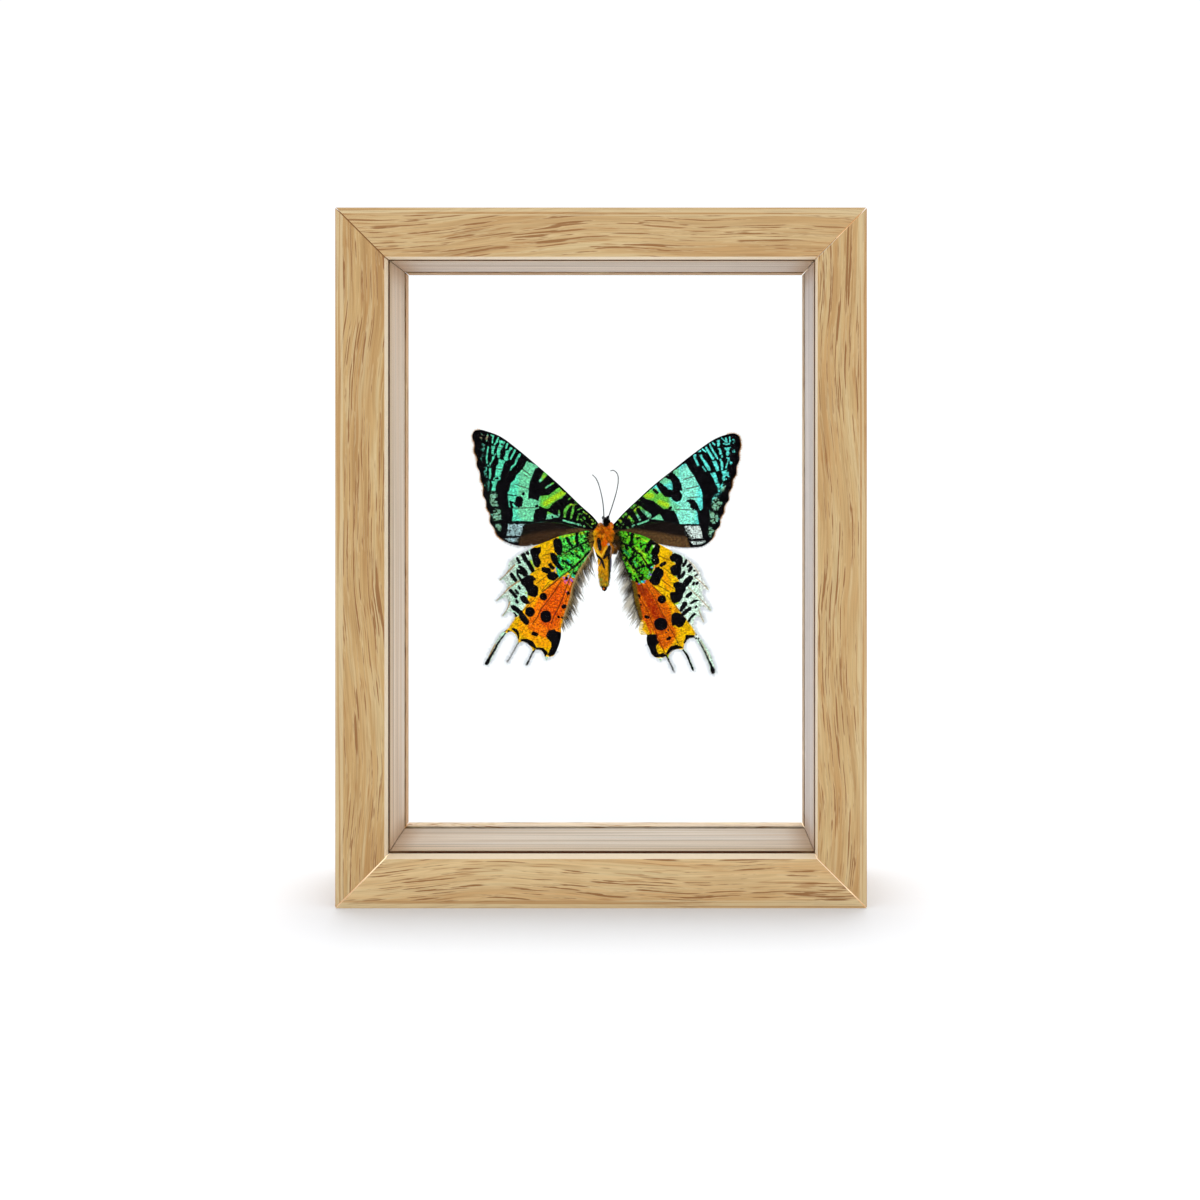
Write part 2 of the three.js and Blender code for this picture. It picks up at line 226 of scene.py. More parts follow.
# What each wing shows. "marks" go on in order over the first ground: True lays colour, False black.
# "zones" tint the ground: colour, softness of the edge in millimetres, shapes.
# "specks" are places where colour and black mix as single scales.
LEFT_FOREWING_MARKS = [
    (True, [
        dot(0.35, -38.8, 33.3), dot(0.25, -39.3, 32.2), line(0.3, (-37.1, 33.5), (-37.5, 31.5)),
        line(0.28, (-36, 33.3), (-35.3, 33), (-35.5, 32), (-35.6, 30.8)),
        line(0.34, (-33.8, 32.3), (-34.2, 31.2), (-34.8, 30.3)),
        [(-33.5, 32), (-31.5, 31.2), (-32.2, 29.4), (-33, 28.5), (-33.2, 26.1), (-33.9, 26.1),
         (-34.3, 28), (-34, 29.5), (-33.5, 30.3)],
        [(-36, 30.1), (-34.5, 29.9), (-35, 28.5), (-35.1, 27), (-36, 27), (-35.9, 28.8)],
        line(0.4, (-38.6, 30.4), (-38.6, 28.5)), line(0.33, (-36.9, 29.5), (-37.3, 27.5)),
        line(0.36, (-30.9, 30.5), (-31.2, 29.3)),
        [(-30.1, 29.7), (-29.1, 29.2), (-30.1, 27.9), (-30.6, 26.4), (-30.5, 25.3), (-31.3, 25),
         (-32.3, 25.9), (-31.6, 26.8), (-31.4, 28.4), (-30.5, 28.7)],
        line(0.36, (-28.5, 28.5), (-29.3, 26.8), (-29.8, 25.8)),
        [(-27, 27, 0.5), (-27.7, 26, 0.36), (-28.4, 24, 0.32), (-29.3, 23.3, 0.38),
         (-29.9, 22.2, 0.25)],
        [(-33.6, 25.8), (-31.3, 25.2), (-32, 24), (-32.4, 22.2), (-33, 20.3), (-34.8, 20.1),
         (-34.7, 21.5), (-34.4, 23.3), (-33.8, 24.3)],
        line(0.3, (-35.2, 19.3), (-34.5, 20), (-33.3, 19.9), (-33.4, 19.1), (-34.6, 19)),
        [(-36, 18.8), (-33.9, 18.7), (-34.5, 17), (-34.6, 15.2), (-36.3, 15.2), (-35.9, 16.3),
         (-35.6, 17.3)],
        line(0.3, (-37.3, 27), (-37.5, 25.8), (-37.2, 24.4)), line(0.3, (-39, 26.3), (-39.1, 25.4)),
        dot(0.3, -38.4, 26.8),
        [(-35.3, 26.2, 0.5), (-35.5, 25.4, 0.3), (-36.4, 24, 0.3)],
        line(0.2, (-34.6, 27.3), (-34.9, 26.8)), line(0.36, (-36.9, 23.8), (-36.5, 23.5)),
        line(0.4, (-36.3, 22.7), (-36.3, 21), (-36.4, 19.7)),
        line(0.46, (-37.6, 22.8), (-38, 21.6), (-37.8, 20.7)),
        line(0.38, (-36.8, 18.5), (-36.9, 17.4), (-37, 16)), dot(0.3, -37.8, 17.3),
        [(-36.4, 14.2), (-35.3, 14.7), (-34, 14.6), (-34.1, 13.3), (-34.7, 12.6), (-33.9, 12),
         (-33.7, 10.5), (-34.8, 10.5), (-35.6, 11), (-36.8, 12), (-36.5, 13.3)],
        [(-34.6, 9.8), (-32.9, 9.6), (-32.8, 6.5), (-33.8, 6), (-35.2, 6.3), (-36, 7.6), (-35.4, 8.7)],
        [(-34.9, 5), (-32.9, 5), (-32.8, 2.2), (-33.7, 3.1)],
        [(-24.7, 25.1), (-26, 22.7), (-28, 20.6), (-28.5, 19.2), (-29.8, 18.2), (-30.4, 15.5),
         (-31, 14.9), (-30.6, 12), (-30.3, 10.5), (-29.3, 9.8), (-29.1, 8), (-29.6, 5.9), (-22.6, 5.8),
         (-22.4, 8), (-21.9, 9.6), (-20.8, 10), (-20.8, 12.3), (-22.9, 13.2), (-24.2, 13.1), (-24, 16),
         (-23.6, 18.5), (-23, 20), (-22, 22.5), (-20.6, 23.2)],
        [(-30.8, 5.2), (-24.9, 5.1), (-26, 4), (-26, 2.8), (-26.6, 1.2), (-31.4, 1.2), (-30.8, 3)],
        [(-32.2, 0.6), (-27, 0.6), (-26.6, -0.8), (-30, -0.7)],
        [(-18.8, 20.9, 0.75), (-20.4, 18.7, 0.5)], line(0.35, (-16.3, 18.1), (-18.7, 16.5)),
        [(-15, 16.4), (-14.2, 16.8), (-12, 14.7), (-13.5, 13.2), (-15, 12.5), (-16.5, 11.5),
         (-17.7, 9.8), (-18.7, 9.9), (-21.6, 11), (-20.5, 14), (-17.8, 14.3), (-16.5, 15.3)],
        line(0.22, (-10.8, 13.4), (-11.4, 12.8)),
        [(-9.3, 11.2, 0.25), (-10.8, 11.2, 0.45), (-12.4, 9.6, 0.5), (-12.7, 7.5, 0.45)],
        line(0.4, (-9.8, 10.6), (-10.1, 9), (-10.7, 6.9)), line(0.22, (-9.3, 12.2), (-8.7, 11.4)),
        line(0.3, (-14.4, 9.3), (-14.5, 7.9)), line(0.25, (-8.4, 9.5), (-7.3, 10.1)),
        line(0.3, (-8.2, 8), (-8.7, 6.2)), line(0.22, (-7.3, 8.2), (-8.2, 8.2)),
        line(0.26, (-6.5, 8.8), (-5.6, 8.2)), line(0.28, (-6.6, 7.2), (-6.2, 6.7)),
        line(0.24, (-7.6, 6.6), (-7.1, 6)), line(0.2, (-5, 7), (-4.7, 7.4)),
        line(0.22, (-4.2, 6.5), (-3.7, 6)), line(0.3, (-3.9, 5), (-3, 5.3)),
        [(-18.2, 9.1), (-14, 7.2), (-18.6, 6.4)],
        line(0.32, (-13.2, 6.2), (-10.8, 5.5), (-7.5, 4.7)), dot(0.3, -6.4, 4.2),
        line(0.22, (-5.9, 5.6), (-5, 4.6), (-3.8, 3.7)),
        [(-25, 4.8), (-22, 5.5), (-18.5, 5.8), (-13, 5.2), (-10, 4.2), (-7, 3.7), (-5.5, 3.3),
         (-1, 3.2), (-1, 0), (-21, -3), (-27.4, -3), (-27, 1)],
    ]),
    (False, [
        [(-27.1, 12.7, 1.15), (-27.3, 11.6, 1.2)], dot(0.42, -25.8, 14.6),
        line(0.2, (-29.3, 12), (-28.5, 11.5)), line(0.14, (-30.8, 14.4), (-28.2, 14)),
        line(0.36, (-29.9, 12), (-29.4, 10.4)), dot(0.25, -34, 19.6), dot(0.3, -32.6, 30.3),
        dot(0.45, -21.5, 10.7), line(0.14, (-16.6, 7.1), (-16.7, 7.6)), dot(0.3, -16.6, 7.3),
        line(0.12, (-12.5, 15.2), (-14, 16.5)), dot(0.2, -19.4, 16.4),
        line(0.13, (-35.8, 30.1), (-34.7, 29.9)), line(0.13, (-36.9, 24.3), (-36.2, 22.9)),
        line(0.1, (-34.9, 28.2), (-34.3, 28.2)),
    ]),
]
LEFT_FOREWING_ZONES = [
    (SEA_GREEN, 1.5, [line(3.5, (-24, 9), (-23.5, 24))]),
    (LEAF, 1.0, [[(-20, 22), (-20.8, 9), (-18, 4), (0, 4), (0, 12), (-14, 22)]]),
    (LIME, 0.8, [line(0.8, (-18.8, 11.5), (-13.2, 15)), line(0.3, (-19.5, 20.2), (-18.6, 19.6)),
                 line(0.4, (-6.3, 8.5), (-3.7, 5.4)), line(0.3, (-11, 11.3), (-9.4, 11))]),
    (SEA_GREEN, 0.5, [line(0.6, (-20.4, 18.3), (-20.6, 18.8)), line(0.5, (-18.2, 16.6), (-17.4, 17.2)),
                      line(0.9, (-18.4, 7.2), (-14.3, 7.5)), line(0.7, (-13.2, 6), (-7.2, 4.8))]),
    (GREY_BLUE, 0.8, [[(-32, 5.3), (-25, 5.2), (-26.5, -2.5), (-33, -1)]]),
    (DULL_TAN, 0.5, [line(0.8, (-39.2, 32.8), (-37.2, 32.4)), line(0.2, (-36.1, 32.9), (-35.9, 32.5))]),
    (DIM_TEAL, 0.6, [line(1, (-39.2, 31), (-39.2, 25)), line(0.6, (-38.4, 23), (-38.2, 20.5)),
                     line(0.8, (-37.4, 18.8), (-37.4, 15.5))]),
    (PATCH_GREEN, 0.8, [line(1.6, (-35.5, 14), (-34, 7), (-33.5, 3.5))]),
    (NEAR_BLACK, 0.5, [[(-25.6, 4.9), (-22, 5.6), (-18.5, 5.9), (-13, 5.3), (-10, 4.2), (-5.5, 3.5),
                        (-1, 3.5), (-1, -1), (-27, -3), (-27.4, 0), (-26.4, 2)]]),
    (BROWN, 1.8, [[(-28, 0.5), (-22, 2.2), (-16, 3), (-6, 3.6), (0, 3), (0, -1), (-20, -4),
                   (-28, -4)]]),
    (WARM_BROWN, 1.4, [line(0.8, (-13, 1.6), (-8, 3), (-4, 3.2))]),
    (EDGE_BROWN, 0.4, [line(0.35, (-42, 33.5), (-41.9, 30.5), (-41.1, 26), (-39.9, 20.5), (-38.5, 14),
                            (-37.4, 10), (-36.1, 5.6), (-34.4, 3))]),
]
LEFT_FOREWING_SPECKS = [
    (1.0, [line(1.8, (-35.5, 14), (-34.6, 11), (-34.4, 8), (-33.5, 3.5)),
           line(1, (-38.7, 33), (-38.7, 25.5)), line(0.8, (-38, 23.5), (-37.4, 16))]),
    (0.5, [line(2.6, (-29, 3.4), (-27, 2.4)), line(1.2, (-31, 0.2), (-28, 0))]),
    (0.4, [line(3, (-12, 10), (-5, 6))]),
]
LEFT_FOREWING_VEINS = [
    line(0.1, (-26.2, 22.6), (-23.3, 20.4)), line(0.1, (-28.8, 17.8), (-24, 16.2)),
    line(0.12, (-29.4, 10.1), (-22, 10.2)), line(0.12, (-34.4, 22.6), (-32.4, 22.4)),
    line(0.12, (-34, 29.6), (-32.6, 29.2)), line(0.1, (-25.5, 20.9), (-24.2, 19.8)),
    line(0.12, (-13.5, 6.9), (-8, 5.2), (-4, 4.6)),
]

RIGHT_FOREWING_MARKS = [
    (True, [
        [(20.8, 21.2), (25.8, 24.6), (27.5, 21.7), (28.8, 20), (30.5, 16.8), (31.2, 15), (31.4, 10),
         (30.8, 9.3), (29.5, 9.2), (30.2, 5), (24, 4.9), (23.3, 6.8), (22.2, 9.2), (21.2, 9.3),
         (19.3, 9.3), (17.5, 10.8), (15.5, 12.3), (13.2, 12.9), (12.3, 13.8), (14, 15.5), (17, 18),
         (19, 20)],
        [(25.3, 4.1), (25.9, 4.6), (30.4, 4.5), (30.9, 2.8), (31.5, 0.4), (27.1, 0.2), (26.4, 2)],
        [(27.2, -0.4), (32.2, -0.3), (31.6, -1.3), (28.2, -1.8)],
        [(28, 26.6), (29.3, 27.5), (29.2, 26.2), (30.3, 23.6), (29.5, 23.3), (28.7, 25.4)],
        line(0.3, (30, 28), (30.6, 28.3)),
        [(30, 27), (30.8, 27.3), (31.6, 25.9), (32.6, 24.8), (34.1, 22), (33.1, 21.8), (32, 23.4),
         (31.4, 24.6)],
        line(0.32, (31.2, 23.3), (32.3, 21.9)), line(0.32, (31.2, 28.8), (32.2, 28)),
        [(32.4, 29.2, 0.5), (33.2, 27.9, 0.45), (34.5, 25.8, 0.5)],
        [(34.1, 25), (35.5, 25.3), (36.3, 23.5), (36.6, 21.9), (35.6, 21.7), (35, 23.2)],
        [(33.5, 30.3, 0.32), (34.4, 28.5, 0.36), (35.5, 26.8, 0.42), (36, 25.8, 0.3)],
        line(0.3, (34.5, 30.9), (35.1, 30.2)),
        [(35.3, 31.6), (36.8, 32), (36.7, 29.7), (35.8, 29.5), (35.8, 30.8)],
        line(0.44, (36.4, 29), (36.8, 28.5), (37, 27.4)), dot(0.42, 37.4, 26.5),
        line(0.27, (37.3, 32.3), (38, 31.7), (38.7, 31)), line(0.42, (38.6, 32.3), (38.9, 31.2)),
        line(0.32, (39.8, 32.5), (39.9, 31)), line(0.27, (37.7, 30.6), (38.6, 30.3), (39.7, 30.6)),
        [(37.7, 29.3), (40, 29.5), (39.8, 28.2), (39.7, 26.9), (39, 26.6), (38.5, 27.2), (38.8, 28.2)],
        line(0.33, (39, 26), (39.6, 25.8)), line(0.3, (39.4, 25.2), (38.6, 22.9)),
        line(0.32, (40.1, 24.6), (40.1, 24)), line(0.42, (36.9, 25.4), (37.4, 24.3), (37.4, 22.4)),
        [(33.4, 21.2), (35.3, 21.6), (35.9, 19.8), (36.4, 18.2), (35.3, 17.9), (34.5, 19.5)],
        [(36.8, 22), (39.3, 22.1), (39.4, 21.2), (38.7, 20.6), (38.6, 19.2), (38, 18.3), (37.3, 19.4),
         (37.6, 20.6)],
        line(0.22, (39.2, 20.6), (39.8, 19.8)),
        [(35.2, 17.9), (37.5, 17.9), (38.7, 17.4), (38.6, 15.8), (37, 15.1), (36.1, 15.2), (36, 16.5)],
        line(0.3, (35.2, 14.3), (36.4, 14.7)), line(0.35, (41, 31.8), (41, 31.3)), dot(0.4, 41.1, 28.1),
        [(34.5, 13.7), (36.5, 13.7), (36.4, 12.6), (37.6, 11.7), (36.8, 10.5), (36, 9.5), (34.2, 9.5),
         (34.1, 11)],
        [(33.4, 9.1), (34.4, 8.7), (35.8, 8.1), (36.7, 6.8), (36, 5.5), (34.8, 5.1), (33.7, 5.5),
         (33.5, 7)],
        [(33.2, 4.2), (34.3, 3.9), (35, 2.9), (34.2, 1.5), (33.3, 0.5), (33.1, 2.4)],
        line(0.4, (8.7, 10.2), (9.8, 11.2)), line(0.3, (9.5, 9.3), (10.8, 10.6)),
        [(11.2, 10.3, 0.5), (14.3, 7.6, 0.8)], line(0.4, (9.7, 9.2), (11.3, 6.2)),
        line(0.45, (7.9, 7.5), (9, 5.6)), line(0.45, (6.9, 8.3), (6, 7.4)),
        line(0.3, (8, 7.6), (7.3, 6.8)), line(0.4, (4.6, 6.3), (5.2, 5.7)),
        line(0.3, (4, 4.8), (4.6, 4.2)), line(0.2, (6.1, 5), (5.3, 3.9)),
        [(14.6, 6.5), (17.6, 8.3), (18.2, 7.5), (18.9, 6.1)],
        line(0.35, (14, 6.1), (12, 5.4), (10.6, 4.9)), line(0.3, (9.5, 4.6), (9, 4.4)),
        dot(0.45, 7.4, 3.8), dot(0.25, 11.1, 12.5), dot(0.25, 12.4, 11.4),
        line(0.28, (12.4, 13.8), (13.9, 15.1)),
        [(25, 4.6), (20, 6), (14, 5.3), (10.5, 4.2), (7, 3.4), (1, 3.2), (1, 0), (20, -3.5), (28, -3.5),
         (26, 2)],
    ]),
    (False, [
        [(21.3, 20.6, 0.9), (22.8, 18.5, 1.2), (23.3, 16, 1.5), (23, 13.8, 1.6)],
        [(17.3, 17.6, 0.7), (18.8, 16, 1.1), (19.8, 14.8, 1.1), (21.5, 14.6, 1.1)],
        [(15.7, 15.9, 0.35), (16.7, 15.1, 0.45)],
        [(11.8, 13.2, 0.5), (13.5, 11.8, 0.9), (15.5, 10.5, 1.2), (17, 9.3, 1.2), (18.3, 9, 0.8)],
        [(21, 19.8, 0.6), (19.2, 19.9, 0.2)],
        [(19.8, 8.1, 1.7), (21.3, 7.2, 1.7)], [(21.2, 10.3, 0.3), (20.3, 9.4, 0.4)],
        line(0.5, (10.8, 9.6), (12.2, 7)), line(0.55, (8.5, 9.3), (9.7, 6.5)),
        [(26, 12.3), (27.2, 13), (28.6, 12.6), (29.6, 11.2), (30.2, 9.5), (28.9, 9.5), (28.4, 10),
         (27.5, 10.1), (27.4, 11.3), (27, 11.9)],
        line(0.2, (28.3, 9.8), (28.2, 9.6)),
    ]),
    (True, [
        line(0.32, (24.3, 15.5), (25, 14.4)), line(0.55, (20.6, 17.4), (20.9, 16.5)),
        [(19.3, 19.2, 0.7), (20.2, 18.2, 0.65)], line(0.3, (16.2, 16.8), (17.2, 15.4)),
    ]),
]
RIGHT_FOREWING_ZONES = [
    (PALE_TURQUOISE, 2.0, [line(3, (27, 21), (26, 7))]),
    (SEA_GREEN, 1.5, [line(2, (22, 21.5), (19, 19.5)), line(1.6, (22.5, 10), (20, 12))]),
    (LEAF, 1.5, [[(20.5, 15), (21, 9.5), (18, 4), (0, 3), (0, 12), (14, 17), (16.5, 15.5)]]),
    (LIME, 0.8, [line(0.8, (13.5, 14), (15, 14)), line(0.7, (17.5, 12), (20, 11)), dot(0.4, 16.4, 16),
                 line(0.4, (5, 6.2), (7.9, 7.2)), line(0.4, (9.6, 9.4), (10.6, 10.6))]),
    (SEA_GREEN, 0.5, [line(1, (12, 8.5), (14.3, 7.4)), line(0.9, (14.6, 6.9), (18.5, 7)),
                      line(0.6, (14, 6), (9, 4.5)), line(0.5, (10.6, 7.5), (11.3, 6.3))]),
    (PALE_GREY, 0.8, [[(25, 4.7), (31.5, 4.7), (32.6, -0.5), (30, -2.3), (26.6, -2)]]),
    (PATCH_GREEN, 0.8, [line(1.6, (36, 12), (34.6, 7), (33.8, 2)), line(0.8, (38.6, 17), (38, 15.6))]),
    (NEAR_BLACK, 0.5, [[(25.4, 4.7), (20, 6.1), (14, 5.4), (10.5, 4.3), (7, 3.5), (1, 3.3), (1, -1),
                        (20, -3.8), (27.5, -3.5), (27.2, 0.3), (25.9, 2)]]),
    (WARM_BROWN, 1.6, [[(27, 0.6), (22, 1.4), (16, 2.4), (6, 3.6), (0, 3), (0, -1), (20, -4.2),
                        (28, -4.2)]]),
    (EDGE_BROWN, 0.4, [line(0.4, (43.2, 32.5), (43.5, 30), (42.9, 26), (41.7, 21.2), (40.4, 17.5),
                            (39.5, 13.8), (38.2, 9.6), (37, 5.4), (35.4, 2.4)),
                            line(0.2, (21.5, 21.7), (25, 24.5)), line(0.15, (15, 16.8), (20, 20.6))]),
]
RIGHT_FOREWING_SPECKS = [
    (1.0, [line(1.9, (36.3, 13), (35.2, 10.4), (35, 7), (34, 2)), line(1.4, (38.2, 17.5), (37.6, 15.2)),
           line(1.2, (41.3, 31.5), (40.8, 24.5)), line(0.8, (39.2, 22), (39.2, 19))]),
    (0.5, [line(1.6, (27.2, 3.4), (27.6, 0.8)), line(1.2, (28, -1), (31.5, -0.8))]),
    (0.4, [line(3, (12, 10), (5, 6))]),
]
RIGHT_FOREWING_VEINS = [
    line(0.14, (25.2, 19.2), (28.6, 20.2)), line(0.14, (26, 16.2), (30, 17.1)),
    line(0.14, (24, 4.8), (30.6, 4.8)),
    line(0.12, (26.3, 13.3), (30.3, 13.7)), line(0.1, (22.5, 9.7), (28, 9.5)),
    line(0.12, (17.5, 8.5), (14.5, 7.2), (11, 5.9), (8, 5.2), (4, 4.2)),
    line(0.1, (34.2, 25.3), (35.3, 25.2)),
]

LEFT_HINDWING_MARKS = [
    (False, [
        [(-23.2, -2.8), (-22, -2.5), (-21.1, -2.5), (-20.3, -2.1), (-20.15, -3.4), (-20.8, -4.8),
         (-20.6, -6), (-20.15, -6.9), (-20.5, -8.3), (-21.1, -8.85), (-22.15, -8.3), (-22.6, -7.2),
         (-22.9, -5.7), (-23.5, -4.15), (-23.5, -3.2)],
        [(-24.3, -11.2), (-23.2, -11.2), (-22.3, -11.85), (-21.85, -12.5), (-22.5, -13.1), (-22.6, -14),
         (-21.2, -14.8), (-21, -15.7), (-21.2, -17.4), (-22, -18.2), (-23.2, -17.85), (-24.15, -17.4),
         (-24.6, -16.15), (-25.2, -14.9), (-26.15, -14.3), (-26.8, -12.6), (-25.85, -12.3),
         (-25.2, -11.85)],
        [(-16.2, 0.1), (-15.4, 0.6), (-14, 0.4), (-13.4, -0.9), (-13.3, -3), (-13.6, -4.8),
         (-14.7, -4.8), (-15.8, -3.7), (-16.1, -2)],
        [(-17.2, -4.2), (-15.8, -4.2), (-15.1, -5), (-14.6, -6.8), (-14, -8), (-13.1, -8.7),
         (-13, -9.4), (-13.8, -9.7), (-14.9, -8.9), (-16.2, -7.4), (-16.9, -6)],
        [(-18.1, -11.2), (-17.2, -10), (-15.7, -10.2), (-14.5, -11.5), (-14.9, -12.1), (-16, -12.9),
         (-17.4, -12.6), (-18, -12)],
        [(-18.1, -29.5), (-17.55, -28.75), (-15.9, -28.4), (-15.2, -29.1), (-14, -29.3), (-13.4, -30.4),
         (-13.8, -31.8), (-14.5, -34), (-15.8, -36.3), (-17.4, -37), (-17.9, -36.3), (-17.2, -34.9),
         (-16.7, -33.6), (-16.8, -32.5), (-17.7, -31.6), (-18.5, -30.4)],
        line(0.42, (-24.7, -3.4), (-24.3, -4.4)), line(0.68, (-25.8, -4.7), (-24.9, -6.5)),
        line(0.4, (-27.7, -5.8), (-26.9, -7.2)), line(0.62, (-24.1, -7.2), (-22.8, -9.6)),
        [(-27.1, -8), (-25.8, -8.5), (-24.7, -9.6), (-24.2, -10.8), (-25, -11.6), (-26, -11.5),
         (-26.5, -10.8), (-27.2, -10.6), (-28, -10.6), (-27.8, -9.1), (-27, -9.5), (-27.4, -8.8)],
        line(0.52, (-29.5, -10.9), (-28.2, -12.8)), line(0.3, (-27.5, -11), (-26.8, -12.2)),
        line(0.28, (-27.2, -14.8), (-26.8, -15.5)), line(0.46, (-29.8, -16), (-28.9, -17), (-28, -18)),
        line(0.34, (-28.2, -16), (-27.4, -16.9)), line(0.4, (-27.9, -19.2), (-27.6, -19.8)),
        [(-26.8, -18), (-25.6, -17.5), (-24.7, -18.2), (-24.1, -19.3), (-23.6, -20), (-24.6, -20.4),
         (-25.6, -20), (-26.5, -19)],
        [(-29.8, -20.8), (-28.9, -20.6), (-27.6, -21.3), (-26.9, -22), (-26.2, -22.4), (-25.3, -23.8),
         (-24.5, -24.6), (-23.8, -26), (-24.3, -26.9), (-25, -26.8), (-26, -25.9), (-26.9, -24.8),
         (-27.1, -23.4), (-28, -23), (-29.1, -22)],
        line(0.42, (-28.7, -23.4), (-28.1, -24.1)), dot(1.5, -23.6, -22.8),
        [(-18.65, -24.05, 1.65), (-18.5, -24.55, 1.65)], dot(1.15, -19.3, -18),
        line(0.6, (-22.5, -29.6), (-21.6, -30)), dot(0.42, -14.5, -24.4), dot(0.72, -12.8, -21.1),
        dot(0.35, -12.6, -24.8), dot(0.5, -11.5, -16.9), line(0.56, (-17.2, -7.9), (-16.4, -8.9)),
        line(0.85, (-19.1, -9.4), (-17.9, -9.8)), dot(0.4, -12, -12.15),
        line(0.4, (-9.4, -10.5), (-8.8, -10.8)),
        [(-29.2, -28.2, 0.2), (-28.15, -28.6, 0.45), (-27.4, -29.6, 0.35), (-27.25, -31.3, 0.15)],
        line(0.2, (-30.5, -28.9), (-29.4, -29.4)), line(0.2, (-31.7, -28.9), (-31.3, -28.7)),
        [(-26.2, -31.8, 0.3), (-24.7, -32, 0.6), (-23.3, -32.7, 0.8), (-21.9, -34.1, 0.3)],
        [(-21.3, -34.5, 0.35), (-19.7, -34.7, 0.5), (-18.6, -35.9, 0.55), (-18.8, -36.5, 0.3)],
        line(0.5, (-8.7, 2.4), (-8.8, 0.5), (-8.45, -1.4)),
        line(0.36, (-12, 0.5), (-11.4, -0.6), (-10.2, -1.9)), line(0.22, (-6.3, 0.4), (-5.6, 0.3)),
        line(0.25, (-5.6, 1.8), (-5.2, 1.4)), line(0.36, (-7.3, -2), (-6.7, -3.7)),
        line(0.3, (-10.6, -3.9), (-9.9, -4.9)), line(0.3, (-8.8, -4.9), (-7.6, -5.6)),
        line(0.34, (-12.4, -6.7), (-11.3, -7.8), (-9.9, -8.6)),
        line(0.2, (-5.6, -0.7), (-8.4, -1.8), (-10.8, -3), (-12, -4)), dot(0.25, -4.8, 0.9),
        dot(0.3, -5.2, 2.2),
        [(-4.2, -3.2, 0.15), (-6.5, -5.6, 0.24), (-9.5, -8.5, 0.28), (-11, -9.7, 0.16)],
        dot(0.28, -13.2, -6.4), dot(0.2, -8.1, -3.3), line(0.15, (-13.5, -6.4), (-12.9, -7.5)),
        dot(0.2, -10.4, -6.6), line(0.18, (-5.4, -1.4), (-5, -2)),
        line(0.25, (-13.4, -24.6), (-12.4, -24.9)),
        [(-31.4, -29.6, 0.14), (-33.7, -32.7, 0.2), (-35, -35.2, 0.25), (-36.4, -37.5, 0.32),
         (-37.2, -39, 0.6)],
        line(0.33, (-27.1, -32.9), (-28.3, -34.3), (-29.4, -36.3), (-30.8, -38.6)),
        line(0.32, (-22, -35), (-23.1, -36.6), (-24, -38.4), (-24.7, -39.7)),
    ]),
    (True, [dot(0.32, -27.1, -9.2), line(0.25, (-26.3, -11), (-25.7, -11.8))]),
]
